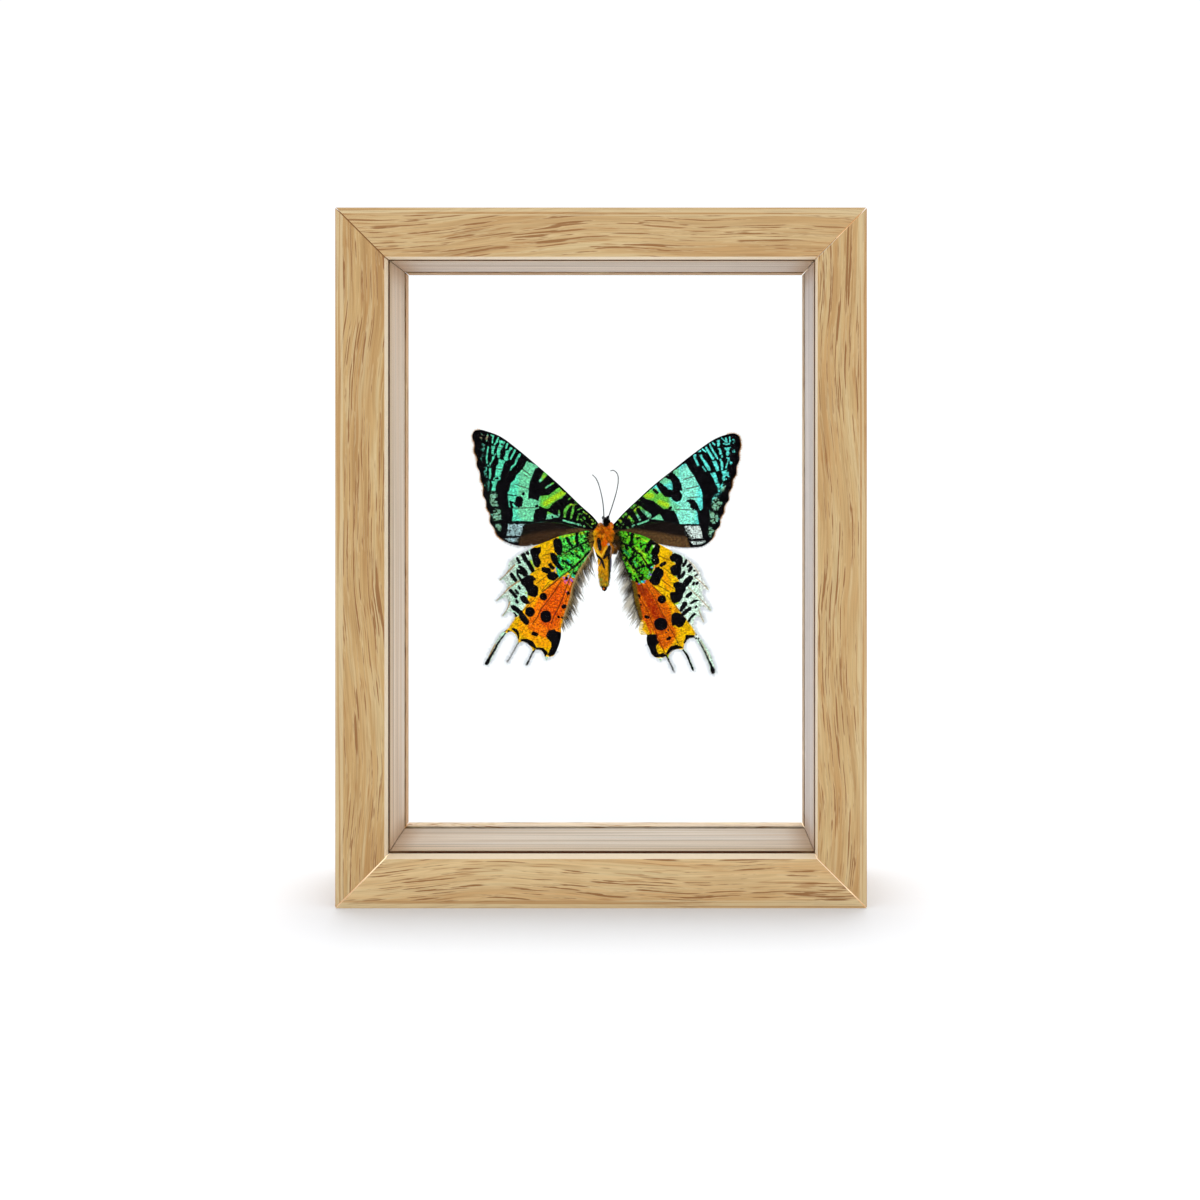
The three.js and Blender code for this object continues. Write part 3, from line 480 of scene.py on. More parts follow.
LEFT_HINDWING_ZONES = [
    (PALE_MINT, 1.0, [line(1, (-27.5, -5.5), (-24, -4.5)), line(0.8, (-26.5, -21.5), (-25, -20.8))]),
    (SAGE, 1.5, [line(1.2, (-29.2, -7), (-30.6, -11), (-31, -15), (-30.8, -20), (-30.5, -23.5)),
                 line(1.2, (-33, -31.5), (-36.5, -38))]),
    (TAN, 0.25, [line(0.2, (-28.5, -8), (-30.5, -10), (-33.2, -12.6)),
                 line(0.22, (-26.9, -12.9), (-28.2, -13.7), (-30.3, -15.2), (-34.3, -19.3)),
                 line(0.2, (-29.95, -19.6), (-30.5, -21.2), (-32.3, -24)),
                 line(0.18, (-34.6, -33), (-36.6, -37.2))]),
    (YELLOW, 0.25, [[(-14, 2.5), (-23, -1.4), (-23.3, -4), (-22.4, -7.2), (-22, -9.3), (-23.6, -10.8),
                     (-24, -14), (-24.3, -17.6), (-25, -20.9), (-26.2, -22.5), (-27.4, -24.3),
                     (-28.9, -24.6), (-32.2, -28.9), (-30.6, -29.7), (-28, -30), (-27.2, -32.9),
                     (-24.5, -33.6), (-22.5, -35.3), (-18.4, -37), (-13, -38), (-10, -28), (-9, -12),
                     (-12, -6)]]),
    (LIME, 0.35, [line(0.35, (-23.3, -6.6), (-22.4, -9)), line(0.4, (-24, -18.2), (-22.8, -18.7)),
                  dot(0.3, -24.8, -16.8)]),
    (GOLD, 1.0, [line(1, (-19, -6), (-16.7, -2)), line(1, (-29, -26.5), (-27.8, -26.5)),
                 line(0.8, (-24, -29.5), (-20, -33.5))]),
    (AMBER, 1.4, [line(1.6, (-19.5, -12), (-22.5, -19.5), (-26, -28), (-22, -31.5), (-18.5, -32.8))]),
    (MARIGOLD, 1.0, [line(1.6, (-17, -6), (-20.5, -11.5)), line(1.2, (-22, -12), (-20.8, -17))]),
    (ORANGE, 1.0, [[(-12, -11.2), (-13.5, -11.8), (-16.2, -13.3), (-19.6, -16.5), (-21.5, -19.5),
                    (-22.6, -22), (-24.3, -25.5), (-24.3, -28), (-22.3, -29.5), (-19, -31.2),
                    (-15, -30.5), (-11, -28), (-8.5, -16), (-8.6, -12.4), (-10, -11.8)]]),
    (RED_ORANGE, 1.2, [[(-13, -13.6), (-15.5, -14.8), (-18.5, -18.8), (-20.5, -22), (-20.6, -26),
                        (-17.5, -28.5), (-15, -27), (-13.3, -22), (-12, -17)]]),
    (GOLD, 0.8, [line(0.8, (-12.8, -25.4), (-13.4, -28.8))]),
    (GREEN, 0.25, [[(-14.6, 2), (-2, 4), (-1, 0), (-4, -5), (-7.6, -10.6), (-9, -12.2), (-10.3, -12),
                    (-11.5, -10.2), (-12.5, -11.1), (-14.4, -12.2), (-15, -11), (-15.4, -9.2),
                    (-15.6, -5.4), (-14.5, -4.6), (-14.2, -2)]]),
    (TEAL, 0.5, [line(0.3, (-14.4, -5.4), (-14, -7.2)), line(0.3, (-11.8, -6.2), (-10.8, -7.2)),
                 line(0.3, (-10, -9.9), (-9.6, -11.2))]),
    (LIME, 0.4, [line(0.3, (-13.4, 1), (-9.5, 1.8)), line(0.4, (-7.8, 2), (-6.3, 2.3)),
                 dot(0.4, -4.6, 2), line(0.3, (-9.6, -0.4), (-9.4, -0.8)),
                 line(0.3, (-10.6, -9.6), (-6, -5)), line(0.3, (-9.2, -3.4), (-8.8, -3.6))]),
    (OLIVE, 1.0, [line(1.2, (-3.6, 2.6), (-4.6, 0.4), (-3.2, -2.5)),
                  line(0.2, (-12.8, -3.6), (-12, -4.6))]),
    (SPRING_GREEN, 0.3, [line(0.16, (-4.6, -4.2), (-6.6, -6.8), (-8.6, -10.2))]),
    (CYAN, 0.4, [line(0.14, (-15, -9.6), (-14.3, -11.6)), dot(0.2, -14.4, -7.2),
                 line(0.2, (-11.4, -11.2), (-11.6, -12)), line(0.16, (-10.2, -11.5), (-9.4, -12)),
                 dot(0.2, -11.4, -6.6)]),
    (BLUE, 0.3, [dot(0.3, -15.2, -9.1), dot(0.25, -12.9, -12), line(0.1, (-12.6, -12.9), (-12, -13))]),
    (VIOLET, 0.3, [dot(0.25, -11.8, -12.7), line(0.25, (-10.7, -12.5), (-10.2, -13.1)),
                   dot(0.2, -15.7, -10)]),
    (MAGENTA, 0.5, [line(0.25, (-12.6, -13.2), (-12.3, -13.7)), line(0.2, (-11.2, -13.5), (-11, -14.1)),
                    dot(0.2, -12, -16.4), dot(0.2, -15.9, -9.2)]),
    (SAND, 0.3, [line(0.4, (-9, -12.4), (-9.7, -14.5), (-10.2, -17.5), (-11.1, -20.5), (-12.4, -24))]),
]
LEFT_HINDWING_SPECKS = [
    (0.5, [line(4.5, (-4, 1), (-9, -3), (-10.5, -7)), line(1.8, (-12.5, -1), (-12.5, -9))]),
    (0.9, [line(1.2, (-4.4, 2.4), (-4.4, -1.4))]),
]
LEFT_HINDWING_VEINS = [
    line(0.16, (-5.4, -0.6), (-8.5, -2), (-10.8, -3.1), (-12.3, -4.1), (-14.8, -5.8)),
    line(0.18, (-4.6, -3.5), (-6.5, -5.6), (-8.5, -7.5), (-10, -8.9), (-11.5, -10), (-13.5, -11.4),
         (-16.3, -13.9), (-19.6, -16.4)),
    line(0.13, (-9.6, -9.5), (-10.6, -11.2), (-11.35, -13.3), (-12.3, -15.8), (-13.3, -18.7),
         (-14.8, -22), (-16.15, -24.5), (-16.8, -26.6)),
    line(0.13, (-13.65, -12.9), (-15.6, -16), (-18.1, -19.5), (-20, -21.8), (-21.3, -24.6),
         (-22.8, -26.6)),
    line(0.11, (-9.6, -12.5), (-10.8, -15.2), (-12.3, -19.7)), line(0.09, (-17.1, -4.3), (-19.6, -5)),
    line(0.1, (-20.6, -9.1), (-23.4, -10.6)), line(0.09, (-18, -11.2), (-21.5, -13.8)),
    line(0.08, (-17.6, -13.4), (-20, -16.2)), line(0.1, (-22, -18.6), (-27, -23.6)),
]

RIGHT_HINDWING_MARKS = [
    (False, [
        line(0.5, (9, 1.7), (8.7, 0.1), (8.3, -1.8)),
        line(0.65, (15, -0.5), (14.2, -1.7), (13.4, -3.3)), line(0.28, (10.4, 0.4), (11.1, 0.7)),
        line(0.45, (6.9, -2), (7.3, -2.8)), line(0.33, (8.9, -4.5), (9.9, -3.9)),
        line(0.42, (8.3, -6.1), (9.9, -5)), line(0.42, (10.5, -9.2), (11.5, -8.6), (12.8, -8.1)),
        line(0.25, (11.2, -7.3), (12, -7)), line(0.38, (13.9, -8.7), (15, -7.8)),
        line(0.48, (11.3, -12), (11.8, -12.5)),
        line(0.2, (5.5, -0.8), (8.5, -2.1), (11.5, -4.5), (13.5, -7.6), (14.9, -9.6)),
        dot(0.3, 6.2, 0.6),
        [(4.8, -3, 0.3), (6.5, -5, 0.24), (8.3, -7.1, 0.36), (10, -9.3, 0.3), (12.8, -12.4, 0.16)],
        dot(0.3, 7.2, 0.9),
        [(4, -4, 0.2), (5.5, -6.4, 0.2), (7.5, -10.3, 0.22), (9.2, -12.8, 0.15)],
        line(0.35, (10.1, -13), (10.6, -13.3)), line(0.2, (9.6, -11.6), (9.9, -12.2)),
        [(14.7, 0.1), (15.6, -0.4), (17, -1.2), (17.7, -2.2), (17.4, -3.7), (16.9, -4.9), (17.5, -6.2),
         (17.3, -7.3), (16.4, -8), (15.4, -7.6), (14.9, -6.4), (15.2, -4.9), (14.9, -3.9), (15.4, -2.8),
         (16, -2), (15, -0.9)],
        line(0.5, (18.1, -8), (19.2, -7.3)),
        [(16.3, -8.7), (17.3, -8.5), (18.3, -9.3), (18.9, -10.2), (18.65, -11.4), (17.7, -12.5),
         (17.7, -13.7), (16.5, -14.5), (15.4, -14.3), (14.2, -12.9), (14.8, -11.8), (15.4, -10.2)],
        dot(1.28, 18.3, -18.9), [(17.8, -26.7, 1.95), (18.1, -26.7, 1.95)],
        [(21.5, -23.4), (23.3, -23), (24.6, -23.7), (26, -25.2), (25.4, -26.4), (24.8, -27.5),
         (23.5, -27.8), (22.5, -27), (21.7, -27.2), (21.3, -26), (21.3, -24.5)],
        line(0.45, (20.2, -31.4), (20.7, -31.1)), dot(0.25, 20.3, -28.7), dot(0.15, 19.6, -29.3),
        dot(0.2, 23.2, -32.5), dot(0.15, 18.9, -21.8), dot(0.2, 21, -21.8),
        line(0.28, (10.9, -17.4), (11.2, -18)), dot(0.3, 11.7, -20.6),
        line(0.4, (13.1, -24.4), (13.9, -24.6)), line(0.42, (26, -6.5), (25.1, -8.2)),
        [(20.9, -5.2), (21.4, -4.5), (22.4, -4.2), (24, -4.7), (24.9, -5.7), (24.9, -7.3), (24.3, -8.2),
         (24.4, -9.5), (24.2, -10.9), (24, -12.4), (23.3, -12.5), (23, -11.3), (22.2, -11.3),
         (21.2, -10.4), (20.9, -9), (21.8, -8.1), (22.8, -8), (22.5, -6.9), (21.4, -6.9), (20.8, -6)],
        line(0.34, (27.3, -7.8), (26.5, -8.5)), line(0.4, (27.6, -8.7), (27, -9.9)),
        dot(0.27, 28.6, -9.7), line(0.5, (25.3, -10.4), (24.5, -11.6)),
        [(27.3, -12.1, 0.85), (26.5, -13, 1), (25.8, -13.9, 0.9)],
        [(22, -13.7), (23.3, -13.3), (24.7, -13.7), (25.8, -14.7), (25.8, -16), (25, -17.2),
         (24.7, -18.5), (23.7, -19.7), (22.2, -20.2), (21.2, -18.8), (20.8, -17), (21.5, -16.5),
         (22.7, -16.5), (22.5, -15.3), (22, -14.5)],
        line(0.34, (28.5, -13.7), (28.2, -14.1)), line(0.32, (29.6, -13.5), (29.3, -13.9)),
        line(0.5, (27.5, -16.9), (26.3, -17.9)),
        [(29.8, -19.1, 0.18), (28.6, -19.4, 0.42), (27.6, -20, 0.3)],
        [(25.6, -20.3, 0.75), (24.8, -21.4, 0.65), (24.3, -22.4, 0.4)],
        line(0.52, (27.1, -21.8), (26, -22.6), (25.1, -23.5)),
        line(0.34, (28.6, -23.6), (27.5, -24.6), (26.8, -25.7)),
        line(0.26, (29.2, -21), (29, -21.4)), line(0.22, (28.8, -11.4), (29.4, -11.1)),
        [(25.8, -30.2), (28.5, -30.2), (28.65, -31), (27.3, -31.4), (26.3, -32), (25.4, -32.9),
         (25.2, -32.3), (25.8, -31.4)],
        dot(0.18, 29.2, -30), line(0.22, (29.3, -31), (29, -31.4)), dot(0.18, 30, -31.2),
        [(20, -36, 0.35), (21.3, -34.5, 0.65), (22.7, -33.9, 0.6), (24.6, -34.1, 0.2)],
        [(13.3, -30.2), (15, -29.85), (16.7, -30.2), (16.6, -31.4), (17.5, -32.5), (16.5, -33.3),
         (16.3, -34.3), (16.7, -35.4), (17.3, -36.4), (18.65, -35.8), (19.6, -36.8), (18.5, -37.2),
         (16.3, -37.2), (15, -36.2), (14.2, -34.3), (13.4, -32.7), (13.3, -31.4)],
        [(3.9, -3.4, 0.4), (5, -5.4, 0.34), (6.3, -8.2, 0.3), (7.4, -11, 0.32), (8, -13.4, 0.38),
         (8.4, -16, 0.3)],
        [(29.8, -31.6, 0.08), (31.7, -35, 0.12), (32.9, -37.7, 0.17), (34, -39.9, 0.3),
         (34.4, -41.3, 0.72), (34.5, -42, 0.7)],
        line(0.28, (25, -35), (26.2, -36.4), (27.1, -38.7), (28.2, -41.2)),
        line(0.3, (19.4, -36.6), (20.2, -37.9), (21.2, -39.8), (22.1, -41.9)),
    ]),
    (True, [dot(0.15, 15.8, -6.4), line(0.28, (16, -1.8), (14.4, -3.5)), dot(0.12, 23.2, -6.1)]),
]
RIGHT_HINDWING_ZONES = [
    (CREAM, 2.5, [line(1.2, (27, -6.5), (30, -10), (31.5, -15), (32, -19), (31.5, -24), (29, -27),
                       (29.5, -30))]),
    (TAN, 0.35, [line(0.1, (26.6, -6.4), (28.5, -8.4), (30, -10.8)),
                 line(0.12, (28.5, -11.7), (30, -12.7), (31.7, -14.3), (33, -15.8)),
                 line(0.12, (26.7, -15), (28.5, -16.7), (30, -18.2), (31.7, -20), (33.7, -22.2)),
                 line(0.12, (30, -22.2), (30.7, -24.2), (31.6, -26.2)),
                 line(0.1, (30.6, -32), (33.4, -37.5))]),
    (SAGE, 0.5, [line(0.5, (30.2, -33), (33.2, -39.5))]),
    (YELLOW, 0.25, [[(16, 0.5), (21.6, -3), (22, -6.7), (22.9, -7.8), (22.9, -11.7), (23.9, -12.9),
                     (23, -14), (23.4, -20), (22.7, -20.7), (24.2, -22.9), (26.4, -25.6), (28, -27.7),
                     (29, -29.6), (28.6, -30.6), (25.6, -33), (25.2, -34.5), (23, -35.2), (20.6, -37.2),
                     (18, -37.4), (12, -38), (10, -32), (10, -14), (16, -9)]]),
    (LIME, 0.4, [line(0.25, (21.9, -6.9), (22.4, -6.7)), dot(0.3, 22.6, -11.6),
                 line(0.3, (22.2, -20.4), (23.4, -20)), line(0.3, (20.2, -36.6), (20.5, -37.4))]),
    (GOLD, 1.0, [line(0.8, (20, -5.5), (19.5, -10)), line(0.6, (26, -28), (27.5, -28.5)),
                 line(0.6, (24, -29), (24, -33))]),
    (AMBER, 1.2, [line(1, (19, -11), (20.5, -15)), line(1, (20, -20), (22.5, -22.3)),
                  line(1.2, (22.6, -29), (20.5, -33.5))]),
    (BURNT_ORANGE, 0.9, [[(14, -12.2), (15.8, -14.9), (18, -17.2), (20, -20.2), (21.3, -22.4),
                          (21.5, -27), (22.6, -28), (22.8, -30.5), (21.4, -33), (19.2, -35),
                          (17.6, -34), (16, -30), (10.8, -24), (8.5, -18), (8.6, -12.6), (11, -13.2)]]),
    (RUST, 1.1, [[(11.6, -15), (13.2, -14.6), (15, -17.5), (17.5, -21.8), (19.2, -24.5), (19.8, -28),
                  (18, -29.5), (16.2, -26.5), (13.6, -21), (11.8, -17.5)]]),
    (EMBER, 0.4, [line(0.4, (10.4, -17.5), (11.9, -22), (13.5, -26.5), (14.8, -29.5))]),
    (GOLD, 0.5, [line(0.6, (12.5, -26.4), (13.7, -29.6)), line(0.5, (17, -34), (18, -35.5))]),
    (YELLOW, 0.3, [line(0.4, (17.3, -34), (17.7, -35.8))]),
    (PALE_YELLOW, 0.5, [line(0.6, (11.7, -26.5), (11.3, -28.8), (12.6, -29.9))]),
    (DARK_RED, 0.3, [line(0.14, (11, -18), (13.5, -22), (15.5, -27), (17, -31), (19.5, -36.5))]),
    (GRASS, 0.25, [[(1, 2), (8, 3.6), (14, 1.6), (15.6, -0.4), (15.8, -7.6), (15.9, -8.6), (15, -11.2),
                    (14.5, -12.5), (13.2, -12.7), (12.5, -13.6), (11, -14), (10, -13.2), (9.2, -13),
                    (6, -11), (1, -3)]]),
    (DEEP_TEAL, 0.5, [line(0.4, (6.2, -3.2), (7.8, -4.8)), line(0.2, (9.4, -6.6), (10.6, -8.4))]),
    (PALE_GREEN, 0.4, [line(0.2, (14.8, -4.6), (15.2, -6.4)), line(0.2, (13.9, -11.8), (14.4, -10))]),
    (YELLOW_GREEN, 0.4, [line(0.3, (9.7, 1.2), (14, -0.6)), line(0.4, (10, -2.4), (13, -5)),
                         line(0.5, (12.2, -5.6), (13.4, -7.4)), line(0.3, (6.5, -5.5), (9.5, -10.4)),
                         line(0.3, (5.8, -2), (7.4, -1.8)), line(0.3, (7.4, 2), (7.8, 1))]),
    (PALE_LIME, 0.3, [line(0.25, (16.1, -1.6), (15.7, -2))]),
    (DARK_OLIVE, 1.4, [line(1.8, (3, 2.2), (4.4, -1), (4, -3.5))]),
    (BRICK, 1.4, [line(1.1, (10.8, -15), (12.4, -16.6))]),
    (CYAN, 0.3, [line(0.3, (12, -13.2), (12.6, -13.4)), dot(0.25, 14.9, -8.6)]),
    (BLUE, 0.25, [dot(0.25, 11, -13.9), dot(0.2, 15.6, -10.2), dot(0.15, 14.8, -8.2)]),
    (VIOLET, 0.3, [dot(0.35, 14.7, -11), dot(0.25, 15.3, -8.9), dot(0.2, 12.9, -13)]),
    (ORANGE, 0.2, [line(0.18, (15.7, -8.8), (16.9, -8))]),
    (DARK_GOLD, 0.5, [line(0.95, (9.1, -13.8), (9.7, -17), (10.4, -20.5), (11.2, -24.5))]),
    (BROWN, 0.4, [line(0.4, (7, -10), (8.3, -13.5), (8.6, -16)), dot(0.3, 11.7, -25.2)]),
]
RIGHT_HINDWING_SPECKS = [
    (0.68, [line(4.5, (4, 1), (9, -4), (11, -8.5)), line(1.8, (12.5, -1), (13.5, -6))]),
    (0.9, [line(1.4, (4.4, 1.6), (5, -2.4))]),
]
RIGHT_HINDWING_VEINS = [
    line(0.12, (15.2, -14.5), (17.5, -16.7), (19.2, -18)), line(0.1, (16.8, -14.2), (20.9, -16.6)),
    line(0.1, (17.9, -12.5), (22, -15.4)), line(0.09, (19, -9), (22, -11.3)),
    line(0.08, (17.4, -5.1), (20.8, -6.5)),
    line(0.08, (12.5, -13), (15.5, -17.5), (18, -22.5), (20, -26.5), (24, -33.5)),
    line(0.09, (19.8, -17.5), (23.9, -22.5)), line(0.14, (4.5, -1), (8, -2), (11.5, -4.5), (14.8, -10)),
    line(0.14, (4.5, -3.5), (7.5, -7), (9.8, -9.4), (13.8, -12.7)),
    line(0.09, (9.9, -9.6), (11.6, -13.6), (12.4, -16)),
]


# The soft edging of short hair along the wings' margins. first and last count along the outline.
WHITE_HAIR, COOL_HAIR = (232, 234, 236), (196, 203, 216)
DUSK_HAIR, LILAC_HAIR = (74, 62, 56), (158, 152, 156)
TAN_HAIR, PALE_TAN_HAIR = (148, 98, 40), (224, 168, 88)
HIND_HAIR = dict(first=5, length=0.85, spacing=0.09, root=WHITE_HAIR, tip=COOL_HAIR)
LOW_HAIR = dict(first=26, last=31, spacing=0.1, root=DUSK_HAIR, tip=LILAC_HAIR)
EDGE_HAIR = dict(first=8, last=26, length=0.4, spacing=0.08, root=TAN_HAIR, tip=PALE_TAN_HAIR)
CILIA = [
    dict(name="cilia_hind_left", wing_name="hindwing_left", last=len(HINDWING_LEFT) - 17, **HIND_HAIR),
    dict(name="cilia_hind_right", wing_name="hindwing_right", last=len(HINDWING_RIGHT) - 15,
         **HIND_HAIR),
    dict(name="cilia_fore_left_low", wing_name="forewing_left", length=0.75, **LOW_HAIR),
    dict(name="cilia_fore_right_low", wing_name="forewing_right", length=0.45, **LOW_HAIR),
    dict(name="cilia_fore_left_edge", wing_name="forewing_left", **EDGE_HAIR),
    dict(name="cilia_fore_right_edge", wing_name="forewing_right", **EDGE_HAIR),
]

# Hair along each hindwing's inner margin: root line, tip line, as [u, v] from the wing's root down.
FRINGES = {
    "left": dict(
        roots=[(-3.7, -2.4), (-4.8, -4.6), (-6.2, -6.8), (-8, -9.6), (-9.3, -12.2), (-10.1, -14.6),
               (-10.7, -17.4), (-11.4, -20), (-12.4, -22.9), (-13, -24.8), (-13.5, -27)],
        tips=[(-3, -8), (-3.5, -9.6), (-4.4, -11.8), (-5.6, -14.2), (-6.2, -16.8), (-7.1, -18.8),
              (-7.5, -21.4), (-8.2, -24.2), (-9.6, -26.4), (-10.8, -28.2), (-12.3, -30.2)],
        root=(206, 170, 104), pale=(178, 156, 114), dark=(36, 29, 18), tip=(226, 222, 214),
        dark_share=0.55, count=190, each=7, hold=0.3,
        tufts=[(-4.6, -4.8), (-8, -11.4), (-9.4, -15), (-10.6, -20.4), (-11, -22.6), (-11.8, -24.6),
               (-6.2, -8)],
    ),
    "right": dict(
        roots=[(4.8, -3.4), (5.7, -5.8), (6.7, -8.4), (7.5, -10.7), (8.4, -13.2), (8.9, -15.4),
               (9.3, -17.8), (9.9, -20.8), (10.7, -23.4), (11.6, -25.8)],
        tips=[(3, -8), (3, -9.6), (3.8, -12.8), (4.3, -15.4), (4.8, -18.2), (5.3, -20.6), (6, -22.8),
              (7.2, -25), (8.5, -26.8), (10.2, -28.8)],
        root=(38, 26, 14), pale=(216, 208, 190), dark=(62, 53, 40), tip=(238, 237, 234),
        dark_share=0.27,
        count=250, each=5, hold=0.45,
        tufts=[(5, -5), (7.2, -10), (8.6, -15)],
    ),
}

# The body, in moth millimetres as [u, depth, v]. These were measured in the wings' plane, so nearer
# parts move by this much for each millimetre towards the viewer, to stay in line.
NEARER_SHIFT = np.array([0.035, 0, 0.069])
THORAX_CENTRE = np.array([-0.15, 7.4, 1.7])
THORAX_RADII = np.array([3.0, 3.5, 2.95])
HEAD_CENTRE = np.array([0.65, 5.7, 5.55])
HEAD_RADII = np.array([0.95, 1.3, 1.4])
EYES = [(0.05, 5.2, 5.9), (1.4, 5.2, 5.8)]
EYE_RADII = np.array([0.5, 0.75, 0.7])
ABDOMEN_DEPTH = 7.8
ABDOMEN_HAIRS = 2600
THORAX_HAIRS = 4200
HAIR_LIMIT = 11.6
LEG_SWELLING = np.array([0.9, 1.15, 1.2, 1.0, 1.15, 1.0, 0.6])
ANTENNA_RADII = [0.2, 0.2, 0.19, 0.18, 0.14]
ANTENNA_GREYS = [(112, 112, 114), (124, 124, 126)]
BODY_BLACK = (14, 11, 12)
TIP_ORANGE = (228, 104, 6)
ASH = (176, 184, 196)
ABDOMEN = [
    (0.05, -16.3), (0.45, -15.9), (0.9, -14.8), (1.4, -13.2), (1.75, -11), (1.9, -8), (1.95, -4),
    (1.7, -0.5), (1.2, 0.5),
]
LEGS = [
    dict(name="leg_fore_left", radius=0.55, colours=[(10, 8, 7), (16, 12, 8)],
         points=[(-1.75, 5, 0.6), (-1.6, 3.9, -1.3), (-1.2, 3.9, -3.4)]),
    dict(name="leg_mid_left", radius=0.46, colours=[(252, 176, 28), (255, 204, 50)],
         points=[(-2.6, 5.6, -0.4), (-2.95, 4.6, -2.1), (-2.1, 4.2, -3.8), (-0.95, 4.5, -5.2)]),
    dict(name="leg_mid_right", radius=0.4, colours=[(246, 164, 24), (255, 196, 36)],
         points=[(0.95, 5, -1.8), (0.25, 4.2, -2.9), (-0.4, 4.2, -4.2), (-0.9, 4.5, -5.4)]),
    dict(name="leg_hind_left", radius=0.36, colours=[(22, 16, 10), (12, 10, 10)],
         points=[(-2.4, 6, -4), (-1.9, 5, -5.2), (-0.9, 4.7, -6.3), (0.05, 5.3, -9)]),
    dict(name="leg_fore_right", radius=0.5, colours=[(16, 12, 15), (30, 20, 8)],
         points=[(1.5, 5.4, -1.9), (1.4, 4.3, -3), (0.9, 4.2, -4.3), (-0.3, 4.3, -6)]),
    dict(name="leg_hind_right", radius=0.33, colours=[(190, 150, 120), (120, 84, 64)],
         points=[(1.95, 5.6, -2), (2.05, 5, -3.8), (2, 5.2, -5.6)]),
    dict(name="leg_tip_left", radius=0.17, colours=[(50, 50, 64), (80, 80, 100)],
         points=[(-1, 5.4, -6.4), (-1.2, 5.2, -7.2), (-1.5, 5.5, -8.2)]),
    dict(name="leg_inner_right", radius=0.34, colours=[(18, 12, 6), (120, 80, 14)],
         points=[(0.75, 4.9, -3.2), (0.5, 4.7, -4.5), (-0.2, 4.8, -5.8)]),
    dict(name="leg_outer_right", radius=0.38, colours=[(14, 11, 9), (40, 28, 14)],
         points=[(1.9, 5.4, -4), (1.5, 5.2, -5), (1.3, 5.4, -6.2)]),
    dict(name="leg_tip_right", radius=0.2, colours=[(96, 92, 112), (110, 104, 128)],
         points=[(2.05, 5.3, -5.4), (2.1, 5.8, -7.5), (1.9, 6.3, -9.6)]),
]
ANTENNAE = {
    "left": [(-0.1, 7.2, 6.6), (-0.3, 7, 10.2), (-0.8, 6.8, 13.7), (-2, 7, 18.1), (-2.8, 7.2, 19.6),
             (-3.8, 7.4, 20.6)],
    "right": [(1.1, 7.2, 6.6), (2.5, 6.9, 10.7), (3.9, 6.8, 15.5), (4.4, 7, 18.8), (4.2, 7.1, 20.6),
              (3.5, 7.2, 21.6), (2.7, 7.3, 22), (1.9, 7.4, 21.8)],
}
TUFTS = [(-0.3, 6.8), (1.1, 7.0)]

# Tones of each rail, wall and back stop
OAK_TINTS = {
    "left": dict(light=(203, 168, 114), dark=(184, 140, 86), offset=3.1),
    "right": dict(light=(208, 178, 126), dark=(194, 152, 98), offset=11.7),
    "top": dict(light=(210, 180, 130), dark=(196, 156, 104), offset=23.4),
    "bottom": dict(light=(224, 196, 146), dark=(212, 172, 118), offset=37.9),
}
WALL_TINTS = {
    "left": dict(light=(244, 220, 196), dark=(232, 206, 180)),
    "right": dict(light=(238, 226, 220), dark=(224, 210, 204)),
    "top": dict(light=(226, 207, 190), dark=(214, 193, 176)),
    "bottom": dict(light=(248, 230, 210), dark=(234, 213, 190)),
}
STOP_TINTS = {"left": (226, 176, 130), "right": (222, 190, 160), "top": (196, 150, 104),
              "bottom": (226, 202, 176)}

# The camera stands at the photograph's viewing place.
CAMERA_PLACE = (0.0141, -0.399, 0.1333)
CAMERA_LENS = 38.55
CAMERA_SHIFT = (-0.0406, -0.1188)

# The light: an even white sky, and a soft sun almost overhead
SKY_COLOUR = (0.985, 0.992, 1.008, 1)
SKY_STRENGTH = 1.06
SUN_COLOUR = (1.0, 0.985, 0.965)
SUN_STRENGTH = 1.95
SUN_DEGREES_WIDE = 14
SUN_TILT_DEGREES = -4
FLOOR_REACH = 6.0
FLOOR_DARK = (0.655, 0.664, 0.68, 1)
FLOOR_LIGHT = (0.668, 0.677, 0.693, 1)


def forewing_y(u, v):
    return FOREWING_DEPTH - 0.9 * (u / 43) ** 2


def hindwing_y(u, v):
    return HINDWING_DEPTH - 0.6 * (np.hypot(u, v) / 50) ** 2


WINGS = {
    "forewing_left": dict(
        outline=FOREWING_LEFT, more_black=0.09, depth=forewing_y, ground=(92, 224, 182), shown=False,
        marks=LEFT_FOREWING_MARKS, zones=LEFT_FOREWING_ZONES, specks=LEFT_FOREWING_SPECKS,
        veins=LEFT_FOREWING_VEINS,
    ),
    "forewing_right": dict(
        outline=FOREWING_RIGHT, more_black=0.1, depth=forewing_y, ground=(98, 234, 222), shown=False,
        marks=RIGHT_FOREWING_MARKS, zones=RIGHT_FOREWING_ZONES, specks=RIGHT_FOREWING_SPECKS,
        veins=RIGHT_FOREWING_VEINS,
    ),
    "hindwing_left": dict(
        outline=HINDWING_LEFT, more_black=0.09, depth=hindwing_y, ground=MINT, shown=True,
        marks=LEFT_HINDWING_MARKS, zones=LEFT_HINDWING_ZONES, specks=LEFT_HINDWING_SPECKS,
        veins=LEFT_HINDWING_VEINS,
    ),
    "hindwing_right": dict(
        outline=HINDWING_RIGHT, more_black=0.09, depth=hindwing_y, ground=PALE_MINT, shown=True,
        marks=RIGHT_HINDWING_MARKS, zones=RIGHT_HINDWING_ZONES, specks=RIGHT_HINDWING_SPECKS,
        veins=RIGHT_HINDWING_VEINS,
    ),
}


